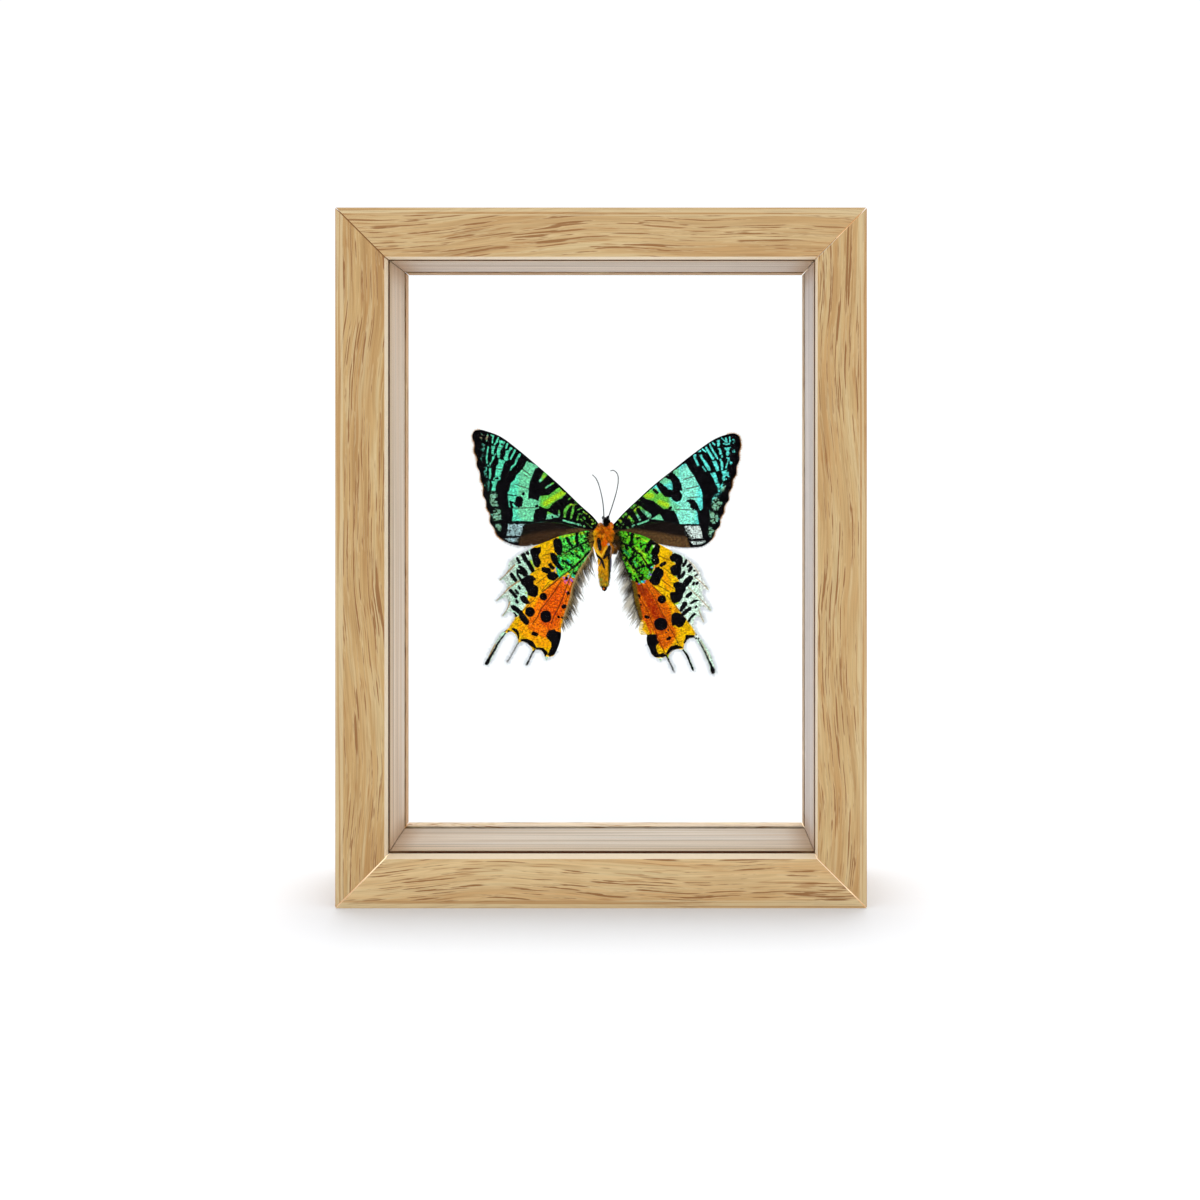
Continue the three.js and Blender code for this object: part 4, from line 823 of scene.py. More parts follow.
def smooth_line(points, spacing):
    """Points every spacing or less along a smooth curve through points of two or more numbers."""
    p = np.array(points, float)
    lengths = np.linalg.norm(np.diff(p, axis=0), axis=1)
    t = np.concatenate([[0], np.cumsum(np.sqrt(lengths))])
    slope = np.gradient(p, t, axis=0)
    fine = []
    for i, length in enumerate(lengths):
        span = t[i + 1] - t[i]
        s = np.linspace(0, 1, max(1, math.ceil(length / spacing)), endpoint=False)[:, None]
        start = (1 + 2 * s) * (1 - s) ** 2 * p[i] + s * (1 - s) ** 2 * span * slope[i]
        end = s * s * (3 - 2 * s) * p[i + 1] + s * s * (s - 1) * span * slope[i + 1]
        fine.append(start + end)
    return np.vstack([*fine, p[-1:]])


def segment_gap(u, v, a, b):
    """Distance to a segment, and how far along it the nearest point is, from 0 to 1."""
    du, dv = b[0] - a[0], b[1] - a[1]
    t = ((u - a[0]) * du + (v - a[1]) * dv) / max(du * du + dv * dv, 1e-9)
    t = np.clip(t, 0, 1)
    return np.hypot(u - a[0] - t * du, v - a[1] - t * dv), t


def stroke_depth(points, u, v):
    depth = np.full(u.shape, -1e3)
    for a, b in zip(points, points[1:] or points):
        gap, t = segment_gap(u, v, a, b)
        depth = np.maximum(depth, a[2] + (b[2] - a[2]) * t - gap)
    return depth


def patch_depth(points, u, v):
    gap = np.full(u.shape, 1e3)
    inside = np.zeros(u.shape, bool)
    for i, b in enumerate(points):
        a = points[i - 1]
        gap = np.minimum(gap, segment_gap(u, v, a, b)[0])
        if a[1] != b[1]:
            crossing = a[0] + (v - a[1]) * (b[0] - a[0]) / (b[1] - a[1])
            inside ^= ((a[1] > v) != (b[1] > v)) & (u < crossing)
    return np.where(inside, gap, -gap)


def depth_in(shapes, u, v):
    """How far each point is inside the nearest of the shapes, in millimetres; below 0 outside."""
    depth = np.full(u.shape, -9.0)
    for shape in shapes:
        measure = stroke_depth if len(shape[0]) == 3 else patch_depth
        depth = np.maximum(depth, measure(shape, u, v))
    return depth


def soft_step(depth, softness):
    s = np.clip(depth / softness + 0.5, 0, 1)
    return s * s * (3 - 2 * s)


def wing_fields(wing, u, v):
    """The wing's colour, where it shows through the black, its specks and its veins."""
    shown = np.full(u.shape, 3.0 if wing["shown"] else -3.0)
    for lays_colour, shapes in wing["marks"]:
        depth = depth_in(shapes, u, v)
        shown = np.maximum(shown, depth) if lays_colour else np.minimum(shown, -depth)
    shown = shown - wing["more_black"]
    colour = np.tile(linear(wing["ground"]), (len(u), 1))
    for tint, softness, shapes in wing["zones"]:
        amount = soft_step(depth_in(shapes, u, v), softness)[:, None]
        colour = colour + (linear(tint) - colour) * amount
    specks = np.zeros(u.shape)
    for amount, shapes in wing["specks"]:
        specks = np.maximum(specks, amount * soft_step(depth_in(shapes, u, v), 0.8))
    veins = depth_in(wing["veins"], u, v)
    return shown, colour, specks, veins


def new_object(name, verts, faces, materials, smooth=True):
    mesh = bpy.data.meshes.new(name)
    mesh.from_pydata(verts.tolist() if hasattr(verts, "tolist") else verts, [], faces)
    obj = bpy.data.objects.new(name, mesh)
    bpy.context.collection.objects.link(obj)
    for material in materials:
        mesh.materials.append(material)
    if smooth:
        mesh.polygons.foreach_set("use_smooth", [True] * len(mesh.polygons))
    return obj


def add_numbers(obj, name, values):
    layer = obj.data.attributes.new(name, "FLOAT", "POINT")
    layer.data.foreach_set("value", np.asarray(values, np.float32))


def add_colours(obj, name, colours):
    full = np.ones((len(colours), 4), np.float32)
    full[:, :3] = colours
    layer = obj.data.attributes.new(name, "FLOAT_COLOR", "POINT")
    layer.data.foreach_set("color", full.ravel())


def dress(obj, slot, *nodes):
    """The piece rides on the object's one body and stands for these solids."""
    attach(obj, "root")
    if nodes:
        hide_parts(*nodes)


def place(u, y, v):
    """Moth places in millimetres as the scene's metres."""
    return np.stack([u, y, np.asarray(v) + MOTH_HEIGHT], axis=-1) * MM


class Nodes:
    """Builds a material's node tree in short calls."""

    def __init__(self, name):
        self.material = bpy.data.materials.new(name)
        self.material.use_nodes = True
        self.tree = self.material.node_tree
        self.shader = self.tree.nodes["Principled BSDF"]
        self.output = self.tree.nodes["Material Output"]

    def put(self, socket, value):
        if isinstance(value, bpy.types.NodeSocket):
            self.tree.links.new(value, socket)
        else:
            socket.default_value = value

    def node(self, kind, inputs=(), **settings):
        node = self.tree.nodes.new(kind)
        for key, value in settings.items():
            setattr(node, key, value)
        for key, value in dict(inputs).items():
            self.put(node.inputs[key], value)
        return node

    def math(self, operation, a, b=0.0, clamp=False):
        inputs = {0: a, 1: b}
        return self.node("ShaderNodeMath", inputs, operation=operation, use_clamp=clamp).outputs[0]

    def plus(self, a, b, clamp=False):
        return self.math("ADD", a, b, clamp)

    def minus(self, a, b):
        return self.math("SUBTRACT", a, b)

    def times(self, a, b, clamp=False):
        return self.math("MULTIPLY", a, b, clamp)

    def absolute(self, a):
        return self.math("ABSOLUTE", a)

    def swing(self, noise, amount):
        """A noise's departure from its middle, times amount."""
        return self.times(self.minus(noise, 0.5), amount)

    def attribute(self, name, output):
        return self.node("ShaderNodeAttribute", attribute_name=name).outputs[output]

    def scaled_place(self, scale):
        """The place in millimetres, times scale: one number, or one for each axis."""
        where = self.node("ShaderNodeTexCoord").outputs["Object"]
        mapping = self.node("ShaderNodeMapping", {"Vector": where})
        mapping.inputs["Scale"].default_value = [s / MM for s in np.broadcast_to(scale, 3)]
        return mapping.outputs[0]

    def place_parts(self):
        """x, y and z in millimetres."""
        return self.node("ShaderNodeSeparateXYZ", {0: self.scaled_place(1)}).outputs[:3]

    def noise_at(self, where, scale, detail, offset):
        mapping = self.node("ShaderNodeMapping", {"Vector": where})
        mapping.inputs["Scale"].default_value = scale
        mapping.inputs["Location"].default_value = (offset, offset * 0.7, offset * 1.3)
        inputs = {"Vector": mapping.outputs[0], "Scale": 1.0, "Detail": detail}
        return self.node("ShaderNodeTexNoise", inputs).outputs["Fac"]

    def noise(self, scale, detail=2.0, distortion=0.0, offset=(0, 0, 0)):
        """Noise of so many ripples to the millimetre."""
        mapping = self.scaled_place(scale)
        mapping.node.inputs["Location"].default_value = offset
        inputs = {"Vector": mapping, "Scale": 1.0, "Detail": detail, "Distortion": distortion}
        return self.node("ShaderNodeTexNoise", inputs).outputs["Fac"]

    def span(self, value, low, high, to_low=0.0, to_high=1.0):
        """A smooth step from to_low to to_high as value goes from low to high."""
        inputs = {"Value": value, "From Min": low, "From Max": high, "To Min": to_low, "To Max": to_high}
        return self.node("ShaderNodeMapRange", inputs, interpolation_type="SMOOTHSTEP").outputs[0]

    def mix(self, factor, a, b):
        node = self.node("ShaderNodeMix", data_type="RGBA", blend_type="MIX")
        self.put(node.inputs[0], factor)
        self.put(node.inputs[6], a)
        self.put(node.inputs[7], b)
        return node.outputs[2]

    def paint(self, colour):
        self.put(self.shader.inputs["Base Color"], colour)

    def bump(self, height, strength, distance_mm):
        inputs = {"Height": height, "Strength": strength, "Distance": distance_mm * MM}
        self.put(self.shader.inputs["Normal"], self.node("ShaderNodeBump", inputs).outputs[0])

    def set(self, **values):
        for key, value in values.items():
            self.put(self.shader.inputs[key.replace("_", " ")], value)
        return self.material


def scale_colour(n, specks, rows, upper_side):
    """The wing's ground, which varies from row to row of scales, with veins and dark flecks over it."""
    blotches = n.noise(0.8, 3.0, offset=(5, 1, 8))
    scales = n.noise(1.9, 2.0, offset=(7, 7, 3))
    mottle = n.noise(1.35, 2.0, offset=(1, 9, 6))
    hue = n.plus(n.swing(rows, n.plus(n.times(specks, 0.2), 0.05)), 0.5)
    value = n.times(n.span(rows, 0.34, 0.66, 0.72, 1.24), n.span(blotches, 0.3, 0.7, 0.9, 1.1))
    value = n.times(value, n.span(scales, 0.36, 0.64, 0.72, 1.3))
    tint = {"Hue": hue, "Saturation": 1.0, "Value": value, "Color": n.attribute("ground", "Color")}
    if upper_side:
        tint["Saturation"] = UPPER_SIDE_SATURATION
        tint["Value"] = n.times(value, UPPER_SIDE_LIGHT)
    ground = n.node("ShaderNodeHueSaturation", tint).outputs[0]
    vein = n.span(n.attribute("veins", "Fac"), -0.16, 0.06, 0.0, 0.85)
    flecks = n.times(n.span(mottle, 0.5, 0.6, 0.0, 1.7), specks, True)
    return n.mix(flecks, n.mix(vein, ground, rgba(VEIN_TONE)), rgba(FLECK_TONE))


def wing_material(name, upper_side):
    """Scales in fine rows: colour from the wing's ground, black where its markings are."""
    n = Nodes(name)
    specks = n.attribute("specks", "Fac")
    ragged = n.noise(2.6, 2.0)
    uneven = n.noise(0.95, 1.0, offset=(4, 6, 2))
    grit = n.noise(2.2, 1.0, offset=(9, 3, 5))
    rows = n.noise((1.4, 1.4, 3.0), 2.0, 0.4, offset=(2, 7, 1))
    edge = n.plus(n.swing(ragged, EDGE_WOBBLE), n.swing(uneven, EDGE_BULGE))
    edge = n.plus(n.attribute("shown", "Fac"), edge)
    edge = n.plus(edge, n.swing(grit, n.times(specks, SPECK_SCATTER)))
    colour_shows = n.span(edge, -EDGE_SOFTNESS, EDGE_SOFTNESS)
    black = n.mix(n.span(grit, 0.55, 0.8), rgba(BLACK), rgba(BLACK_SHEEN))
    n.paint(n.mix(colour_shows, black, scale_colour(n, specks, rows, upper_side)))
    n.bump(n.plus(rows, n.times(grit, 0.5)), 0.25, 0.05)
    return n.set(Roughness=0.6, Specular_IOR_Level=0.03)


def hair_material(name, roughness=0.6, glow=0.0):
    """Hair that takes its colour from each strand and, given glow, glows a little: painted light that
    lifts it out of its own shade.
    """
    n = Nodes(name)
    shade = n.span(n.noise(2.5, 2.0), 0.3, 0.7, 0.85, 1.1)
    strand = {"Value": shade, "Color": n.attribute("ground", "Color")}
    tint = n.node("ShaderNodeHueSaturation", strand).outputs[0]
    n.paint(tint)
    if glow:
        n.put(n.shader.inputs["Emission Color"], tint)
        n.shader.inputs["Emission Strength"].default_value = glow
    return n.set(Roughness=roughness, Specular_IOR_Level=0.08)


def darker(colour, share):
    return rgba(tuple(c * share for c in colour))


def oak_figure(n, grain, across, light, dark):
    """Wavy grain with open pores as dark dashes, each ringed by a painted highlight. Gives its colour,
    wave, fibres and pores.
    """
    sweep = grain(0.004, 0.014, 0.0, across)
    wave = grain(0.04, 0.045, 1.0, across, 5)
    wavy = n.plus(across, n.plus(n.times(sweep, SWEEP_REACH), n.times(wave, WAVE_REACH)))
    broad = grain(0.2, 0.014, 2.0, wavy, 3)
    figure = grain(0.55, 0.024, 2.0, wavy, 7)
    fibre = grain(3.2, 0.06, 2.0, wavy, 11)
    long_pores = grain(2.3, 0.07, 0.0, wavy, 17)
    short_pores = grain(2.8, 0.13, 0.0, wavy, 23)
    crowd = n.swing(grain(0.34, 0.03, 1.0, wavy, 29), 0.5)
    broken = n.swing(grain(1.6, 0.35, 1.0, wavy, 41), 0.24)
    dashes = n.plus(long_pores, n.plus(crowd, broken))
    pores = n.span(dashes, 0.61, 0.74, 0.0, 0.9)
    layers = [
        (n.span(figure, 0.5, 0.72, 0.0, 0.55), darker(dark, 0.9)),
        (n.span(figure, 0.48, 0.3, 0.0, 0.6), rgba(PALE_GRAIN)),
        (n.span(fibre, 0.38, 0.7, 0.0, 0.35), darker(dark, 0.8)),
        # A painted highlight round each pore
        (n.span(dashes, 0.55, 0.6, 0.0, 0.3), rgba(PORE_HIGHLIGHT)),
        (n.span(n.plus(short_pores, crowd), 0.62, 0.78, 0.0, 0.6), rgba(SHORT_PORE)),
        (pores, rgba(LONG_PORE)),
    ]
    body = n.mix(n.span(broad, 0.32, 0.68), rgba(light), rgba(dark))
    for amount, tint in layers:
        body = n.mix(amount, body, tint)
    return body, wave, fibre, pores


def rail_edges(n, body, grain, across, wave, inset, y):
    """A strip of straight grain round the rail's outer edge, and on its inner faces painted light on the
    lip's side and painted shade in the front pane's slot.
    """
    straight = grain(1.5, 0.01, 1.0, across, 31)
    strip = n.mix(n.span(straight, 0.48, 0.62), rgba(STRIP_LIGHT), rgba(STRIP_DARK))
    band = n.span(n.plus(inset, n.times(wave, 0.8)), STRIP_WIDTH, STRIP_WIDTH - 0.4, 0.0, 0.7)
    # Painted light: the lip's inner side is painted pale cream, as if lit.
    lit_lip_side = n.times(n.span(inset, RAIL_FACE - 0.1, RAIL_FACE - 0.02), n.span(y, -13.7, -13.95))
    # Painted shade in the slot where the front pane's edge sits
    slot = n.times(n.span(y, -13.9, -13.75), n.span(y, -11.2, -11.3))
    layers = [
        (band, strip),
        (n.span(inset, 0.3, 0.1, 0.0, 0.4), rgba(OUTER_LINE)),
        (lit_lip_side, rgba(LIT_LIP_SIDE)),
        (n.times(slot, n.span(inset, 6.9, 7.1)), rgba(SLOT_SHADE)),
    ]
    for amount, tint in layers:
        body = n.mix(amount, body, tint)
    return body


def joint_and_highlight_tone(n, x, z, wave):
    """The thin line at a mitre: a dark brown joint at the top left, and a pale painted highlight
    elsewhere.
    """
    half_height = OUTER_HEIGHT / MM / 2
    top_left = n.times(n.span(x, 10, -10), n.span(z, half_height, half_height + 10))
    pale = n.mix(n.span(wave, 0.4, 0.6), rgba(JOINT_MIDDLE), rgba(JOINT_HIGHLIGHT))
    return n.mix(top_left, pale, rgba(JOINT_DARK))


def oak_material(name, along_z, light, dark, offset, edge_band=True):
    """Oak with its grain along z or x. The rails also have edge_band; the back stops don't."""
    n = Nodes(name)
    x, y, z = n.place_parts()
    along, across = (z, x) if along_z else (x, z)

    def grain(across_scale, along_scale, detail, place_across, shift=0.0):
        where = n.node("ShaderNodeCombineXYZ", {0: place_across, 1: y, 2: along}).outputs[0]
        return n.noise_at(where, (across_scale, across_scale, along_scale), detail, offset + shift)

    body, wave, fibre, pores = oak_figure(n, grain, across, light, dark)
    half_width, half_height = OUTER_WIDTH / MM / 2, OUTER_HEIGHT / MM / 2
    inset_x = n.minus(half_width, n.absolute(x))
    inset_z = n.minus(half_height, n.absolute(n.minus(z, half_height)))
    mitre = n.absolute(n.minus(inset_x, inset_z))
    if edge_band:
        body = rail_edges(n, body, grain, across, wave, inset_x if along_z else inset_z, y)
    # The mitre line: a dark joint at the top left, a painted highlight elsewhere
    joint = joint_and_highlight_tone(n, x, z, wave)
    n.paint(n.mix(n.span(mitre, 0.36, 0.16, 0.0, 0.8), body, joint))

    # The mitred ends glow a little, so that the fine gap between them isn't a black line.
    n.put(n.shader.inputs["Emission Color"], joint)
    n.put(n.shader.inputs["Emission Strength"], n.span(mitre, 0.22, 0.16, 0.0, JOINT_GLOW))
    n.put(n.shader.inputs["Roughness"], n.span(fibre, 0.3, 0.7, 0.52, 0.66))
    n.bump(n.minus(n.times(fibre, 0.4), pores), 0.35, 0.1)
    return n.set(Specular_IOR_Level=0.2)


def pale_wood_material(name, along_z, light, dark, offset):
    """Bare pale wood with fine straight lines, tanner towards the front, with painted shade in the slots
    where the panes sit and near the inner corners.
    """
    n = Nodes(name)
    x, y, z = n.place_parts()
    along, across = (z, x) if along_z else (x, z)
    where = n.node("ShaderNodeCombineXYZ", {0: across, 1: y, 2: along}).outputs[0]
    lines = n.noise_at(where, (1.5, 1.5, 0.006), 2.0, offset)
    fine = n.noise_at(where, (4.2, 4.2, 0.012), 1.0, offset + 3)
    patches = n.noise_at(where, (0.3, 0.3, 0.01), 1.0, offset + 9)
    # Painted shade in the slots where the panes' edges sit
    slot_shade = n.plus(n.span(y, -11.2, -11.4), n.span(y, 11.9, 12.05), clamp=True)
    # Painted shade near each inner corner, over its last 8 millimetres
    end = n.absolute(n.minus(along, OUTER_HEIGHT / MM / 2) if along_z else along)
    corner = (OUTER_HEIGHT if along_z else OUTER_WIDTH) / MM / 2 - RAIL_FACE
    layers = [
        (n.span(lines, 0.52, 0.64, 0.0, 0.75), darker(dark, 0.8)),
        (n.span(lines, 0.46, 0.36, 0.0, 0.7), rgba(WALL_PALE)),
        (n.span(fine, 0.5, 0.66, 0.0, 0.45), darker(dark, 0.78)),
        (n.span(y, -6.0, -11.0, 0.0, 0.4), rgba(WALL_FRONT)),
        (slot_shade, rgba(SLOT_SHADE)),
        (n.span(end, corner - 8, corner, 0.0, 0.5), rgba(WALL_CORNER_SHADE)),
    ]
    body = n.mix(n.span(patches, 0.3, 0.7), rgba(light), rgba(dark))
    for amount, tint in layers:
        body = n.mix(amount, body, tint)
    n.paint(body)
    n.bump(lines, 0.2, 0.08)
    return n.set(Roughness=0.7, Specular_IOR_Level=0.15)


def glass_material():
    """Clear glass that lets light and shadow straight through, with a faint reflection."""
    n = Nodes("pane_glass")
    n.tree.nodes.remove(n.shader)
    roughness = n.span(n.noise(0.08, 2.0), 0.3, 0.8, 0.0, 0.04)
    clear = n.node("ShaderNodeBsdfTransparent", {"Color": GLASS_TINT}).outputs[0]
    shine = n.node("ShaderNodeBsdfGlossy", {"Roughness": roughness}).outputs[0]
    rim = n.node("ShaderNodeFresnel", {"IOR": GLASS_IOR}).outputs[0]
    blend = n.node("ShaderNodeMixShader", {0: rim, 1: clear, 2: shine}).outputs[0]
    n.put(n.output.inputs["Surface"], blend)
    return n.material


def glue_material():
    """Clear glue, a little cloudy."""
    n = Nodes("clear_glue")
    cloud = n.noise(0.8, 2.0)
    n.paint(n.mix(cloud, rgba(GLUE_LIGHT), rgba(GLUE_DARK)))
    n.put(n.shader.inputs["Roughness"], n.span(cloud, 0.3, 0.7, 0.12, 0.3))
    return n.set(Transmission_Weight=0.35)


def wing_grid(outline):
    """Places all over a wing's outline, and the triangles between them."""
    outline = smooth_line(outline + outline[:1], WING_GRID)[:-1]
    low, high = outline.min(axis=0), outline.max(axis=0)
    row_gap = WING_GRID * math.sqrt(3) / 2
    grid_v, grid_u = np.mgrid[low[1]:high[1]:row_gap, low[0]:high[0]:WING_GRID]
    grid_u[1::2] += WING_GRID / 2
    u, v = grid_u.ravel(), grid_v.ravel()
    inner = patch_depth([tuple(p) for p in outline[::2]], u, v) > WING_GRID * 0.55
    points = np.vstack([outline, np.stack([u, v], axis=1)[inner]])
    ring = [(i, (i + 1) % len(outline)) for i in range(len(outline))]
    flat, _, triangles, _, _, _ = delaunay_2d_cdt([Vector(p) for p in points], ring, [], 1, 1e-6)
    u, v = np.array(flat).T
    return u, v, triangles


def wing_faces(u, v, triangles):
    """Faces of the front, the back and the rim between them."""
    count = len(u)
    fronts = []
    edges = {}
    for a, b, c in triangles:
        area = (u[b] - u[a]) * (v[c] - v[a]) - (u[c] - u[a]) * (v[b] - v[a])
        if area < 0:
            b, c = c, b
        fronts.append((a, b, c))
        for edge in ((a, b), (b, c), (c, a)):
            edges[edge] = True
    backs = [(a + count, c + count, b + count) for a, b, c in fronts]
    rim = [(b, a, a + count, b + count) for a, b in edges if (b, a) not in edges]
    return fronts, backs, rim


def make_wing(name, wing):
    """A thin cambered sheet, triangulated finely enough to carry its markings."""
    u, v, triangles = wing_grid(wing["outline"])
    shown, colour, specks, veins = wing_fields(wing, u, v)

    # Pleats fan out from the wing's root and veins stand proud of both sides.
    angle = np.arctan2(v, np.abs(u))
    reach = np.clip(np.hypot(u, v) / 12 - 0.5, 0, 1)
    pleats = PLEAT_RELIEF * reach * np.sin(angle * PLEAT_RATE)
    relief = VEIN_RELIEF * soft_step(veins, 0.4)
    middle = wing["depth"](u, v) + pleats
    front = place(u, middle - WING_HALF - relief, v)
    back = place(u, middle + WING_HALF + relief * 0.3, v)
    fronts, backs, rim = wing_faces(u, v, triangles)
    materials = [wing_material(name + "_underside", False), wing_material(name + "_upper_side", True)]
    obj = new_object(name + "_scales", np.vstack([front, back]), fronts + backs + rim, materials)
    sides = [0] * len(fronts) + [1] * len(backs) + [0] * len(rim)
    obj.data.polygons.foreach_set("material_index", sides)
    for layer, values in (("shown", shown), ("specks", specks), ("veins", veins)):
        add_numbers(obj, layer, np.tile(values, 2))
    add_colours(obj, "ground", np.tile(colour, (2, 1)))
    dress(obj, name.rsplit("_", 1)[0] + "_scales", name)


def make_strands(name, lines, radii, colours, material, sides=3):
    """Tapered hairs. lines is strands by points by 3 in metres, radii strands by points in metres,
    and colours strands by points by 3."""
    lines = np.asarray(lines, float)
    count, steps, _ = lines.shape
    along = np.gradient(lines, axis=1)
    along /= np.linalg.norm(along, axis=2, keepdims=True)
    across = np.cross(along, [0.13, 0.21, 0.97])
    across /= np.linalg.norm(across, axis=2, keepdims=True)
    other = np.cross(along, across)
    turn = np.arange(sides) * 2 * math.pi / sides
    turn = turn[None, None, :, None]
    ring = np.cos(turn) * across[:, :, None] + np.sin(turn) * other[:, :, None]
    verts = (lines[:, :, None] + ring * np.asarray(radii)[:, :, None, None]).reshape(-1, 3)
    index = np.arange(count * steps * sides).reshape(count, steps, sides)
    nearer, further = index[:, :-1], index[:, 1:]
    quads = np.stack([nearer, np.roll(nearer, -1, 2), np.roll(further, -1, 2), further], axis=-1)
    faces = quads.reshape(-1, 4).tolist()
    faces += index[:, 0, ::-1].tolist() + index[:, -1].tolist()
    obj = new_object(name, verts, faces, [material])
    add_colours(obj, "ground", np.repeat(np.asarray(colours).reshape(-1, 3), sides, axis=0))
    return obj


def strand_curves(roots, directions, lengths, steps, droop, sway, rng):
    """Hairs from roots along directions in millimetres, bending by droop and sway towards their tips."""
    s = np.linspace(0, 1, steps)[None, :, None]
    bend = rng.normal(0, 1, (len(roots), 1, 3)) * sway
    reach = directions[:, None] * s + (np.asarray(droop) + bend) * s ** 2
    return roots[:, None] + reach * np.asarray(lengths)[:, None, None]


def shade_strands(root_colours, tip_colours, steps, rng, spread=0.12):
    s = np.linspace(0, 1, steps)[None, :, None] ** 1.3
    mixed = root_colours[:, None] * (1 - s) + tip_colours[:, None] * s
    return np.clip(mixed * rng.normal(1, spread, (len(root_colours), 1, 1)), 0, 1)


def outline_run(outline, first, last, spacing):
    """Points and outward directions along part of a wing's outline."""
    run = smooth_line(outline[first:last + 1], spacing)
    along = np.gradient(run, axis=0)
    along /= np.linalg.norm(along, axis=1, keepdims=True)
    outward = np.stack([along[:, 1], -along[:, 0]], axis=1)
    u, v = (run + outward * 0.2).T
    inside = patch_depth(outline, u, v) > 0
    outward[inside] *= -1
    return run, outward


def make_cilia(rng, name, wing_name, first, last, length, spacing, root, tip):
    """The soft edging of short hairs along a wing's margin."""
    wing = WINGS[wing_name]
    run, outward = outline_run(wing["outline"], first, last, spacing)
    run, outward = np.tile(run, (2, 1)), np.tile(outward, (2, 1))
    run = run + rng.normal(0, spacing * 0.6, run.shape) - outward * 0.25
    outward = outward + rng.normal(0, 0.3, outward.shape)
    u, v = run.T
    y = wing["depth"](u, v) + rng.uniform(-0.12, 0.12, len(u))
    roots = np.stack([u, y, v + MOTH_HEIGHT], axis=1)
    directions = np.stack([outward[:, 0], rng.normal(0, 0.12, len(u)), outward[:, 1]], axis=1)
    lengths = length * rng.uniform(0.75, 1.1, len(u)) + 0.25
    curves = strand_curves(roots, directions, lengths, 3, (0, 0, 0), 0.06, rng) * MM
    radii = np.tile(np.array([0.035, 0.028, 0.01]) * MM, (len(u), 1))
    root_colours = np.tile(linear(root), (len(u), 1))
    tip_colours = np.tile(linear(tip), (len(u), 1))
    tints = shade_strands(root_colours, tip_colours, 3, rng, 0.06)
    obj = make_strands(name, curves, radii, tints, hair_material(name, 0.8, 0.2))
    dress(obj, wing_name.rsplit("_", 1)[0] + "_scales", wing_name)


def at_fraction(points, t):
    """Places at fractions t, from 0 to 1, of a line of points."""
    where = t * (len(points) - 1)
    low = np.minimum(where.astype(int), len(points) - 2)
    rest = (where - low)[:, None]
    return points[low] * (1 - rest) + points[low + 1] * rest


def make_fringe(side, rng):
    """Long hair in tufts, from a hindwing's inner margin over the gap beside the abdomen."""
    fringe = FRINGES[side]
    tufts, each, steps = fringe["count"], fringe["each"], 6
    t = np.sort(rng.uniform(0, 1, tufts))
    count = tufts * each
    t_strand = np.clip(np.repeat(t, each) + rng.normal(0, 0.006, count), 0, 1)
    root = at_fraction(smooth_line(fringe["roots"], 0.1), t_strand) + rng.normal(0, 0.15, (count, 2))
    tip = at_fraction(smooth_line(fringe["tips"], 0.1), t)
    tip = np.repeat(tip + rng.normal(0, 0.6, (tufts, 2)), each, axis=0) + rng.normal(0, 0.1, (count, 2))
    lengths = np.repeat(rng.uniform(0.35, 1.08, tufts), each) * rng.uniform(0.7, 1.05, count)
    y = HINDWING_DEPTH + rng.uniform(-0.6, 0.25, count)
    roots = np.stack([root[:, 0], y, root[:, 1] + MOTH_HEIGHT], axis=1)
    reach = np.stack([tip[:, 0] - root[:, 0], rng.normal(0, 0.3, count), tip[:, 1] - root[:, 1]], axis=1)
    curves = strand_curves(roots, reach, lengths, steps, (0, 0, -0.2), 0.08, rng) * MM
    radii = np.tile(np.array([0.06, 0.06, 0.054, 0.044, 0.03, 0.012]) * MM, (count, 1))
    near_tuft = np.zeros(count)
    for u, v in fringe["tufts"]:
        near_tuft = np.maximum(near_tuft, 1.7 - np.hypot(root[:, 0] - u, (root[:, 1] - v) * 0.8))
    is_dark = rng.uniform(0, 1, tufts) < fringe["dark_share"]
    tuft_shade = np.where(is_dark, rng.uniform(0.7, 1.1, tufts), rng.uniform(-0.1, 0.25, tufts))
    shade = np.repeat(tuft_shade, each) + rng.normal(0, 0.12, count) + near_tuft * 0.8
    shade = np.clip(shade, 0, 1)[:, None, None]

    # Each hair starts tan, is pale or dark along its middle, and fades out.
    s = np.linspace(0, 1, steps)[None, :, None]
    middle = linear(fringe["pale"]) * (1 - shade) + linear(fringe["dark"]) * shade
    far = middle + (linear(fringe["tip"]) - middle) * 0.7
    root_tone = linear(fringe["root"])
    start = root_tone + (middle - root_tone) * np.clip(s / 0.2 - fringe["hold"], 0, 1)
    tints = np.clip(start + (far - start) * np.clip((s - 0.55) / 0.45, 0, 1), 0, 1)
    hair = hair_material(f"fringe_{side}", 0.7, 0.15)
    obj = make_strands(f"hindwing_{side}_fringe", curves, radii, tints, hair)
    dress(obj, "hindwing_scales", f"hindwing_{side}")


def body_place(points):
    """Body places as the scene's metres."""
    points = np.asarray(points, float)
    nearer = HINDWING_DEPTH - points[..., 1:2]
    return (points + nearer * NEARER_SHIFT + [0, 0, MOTH_HEIGHT]) * MM


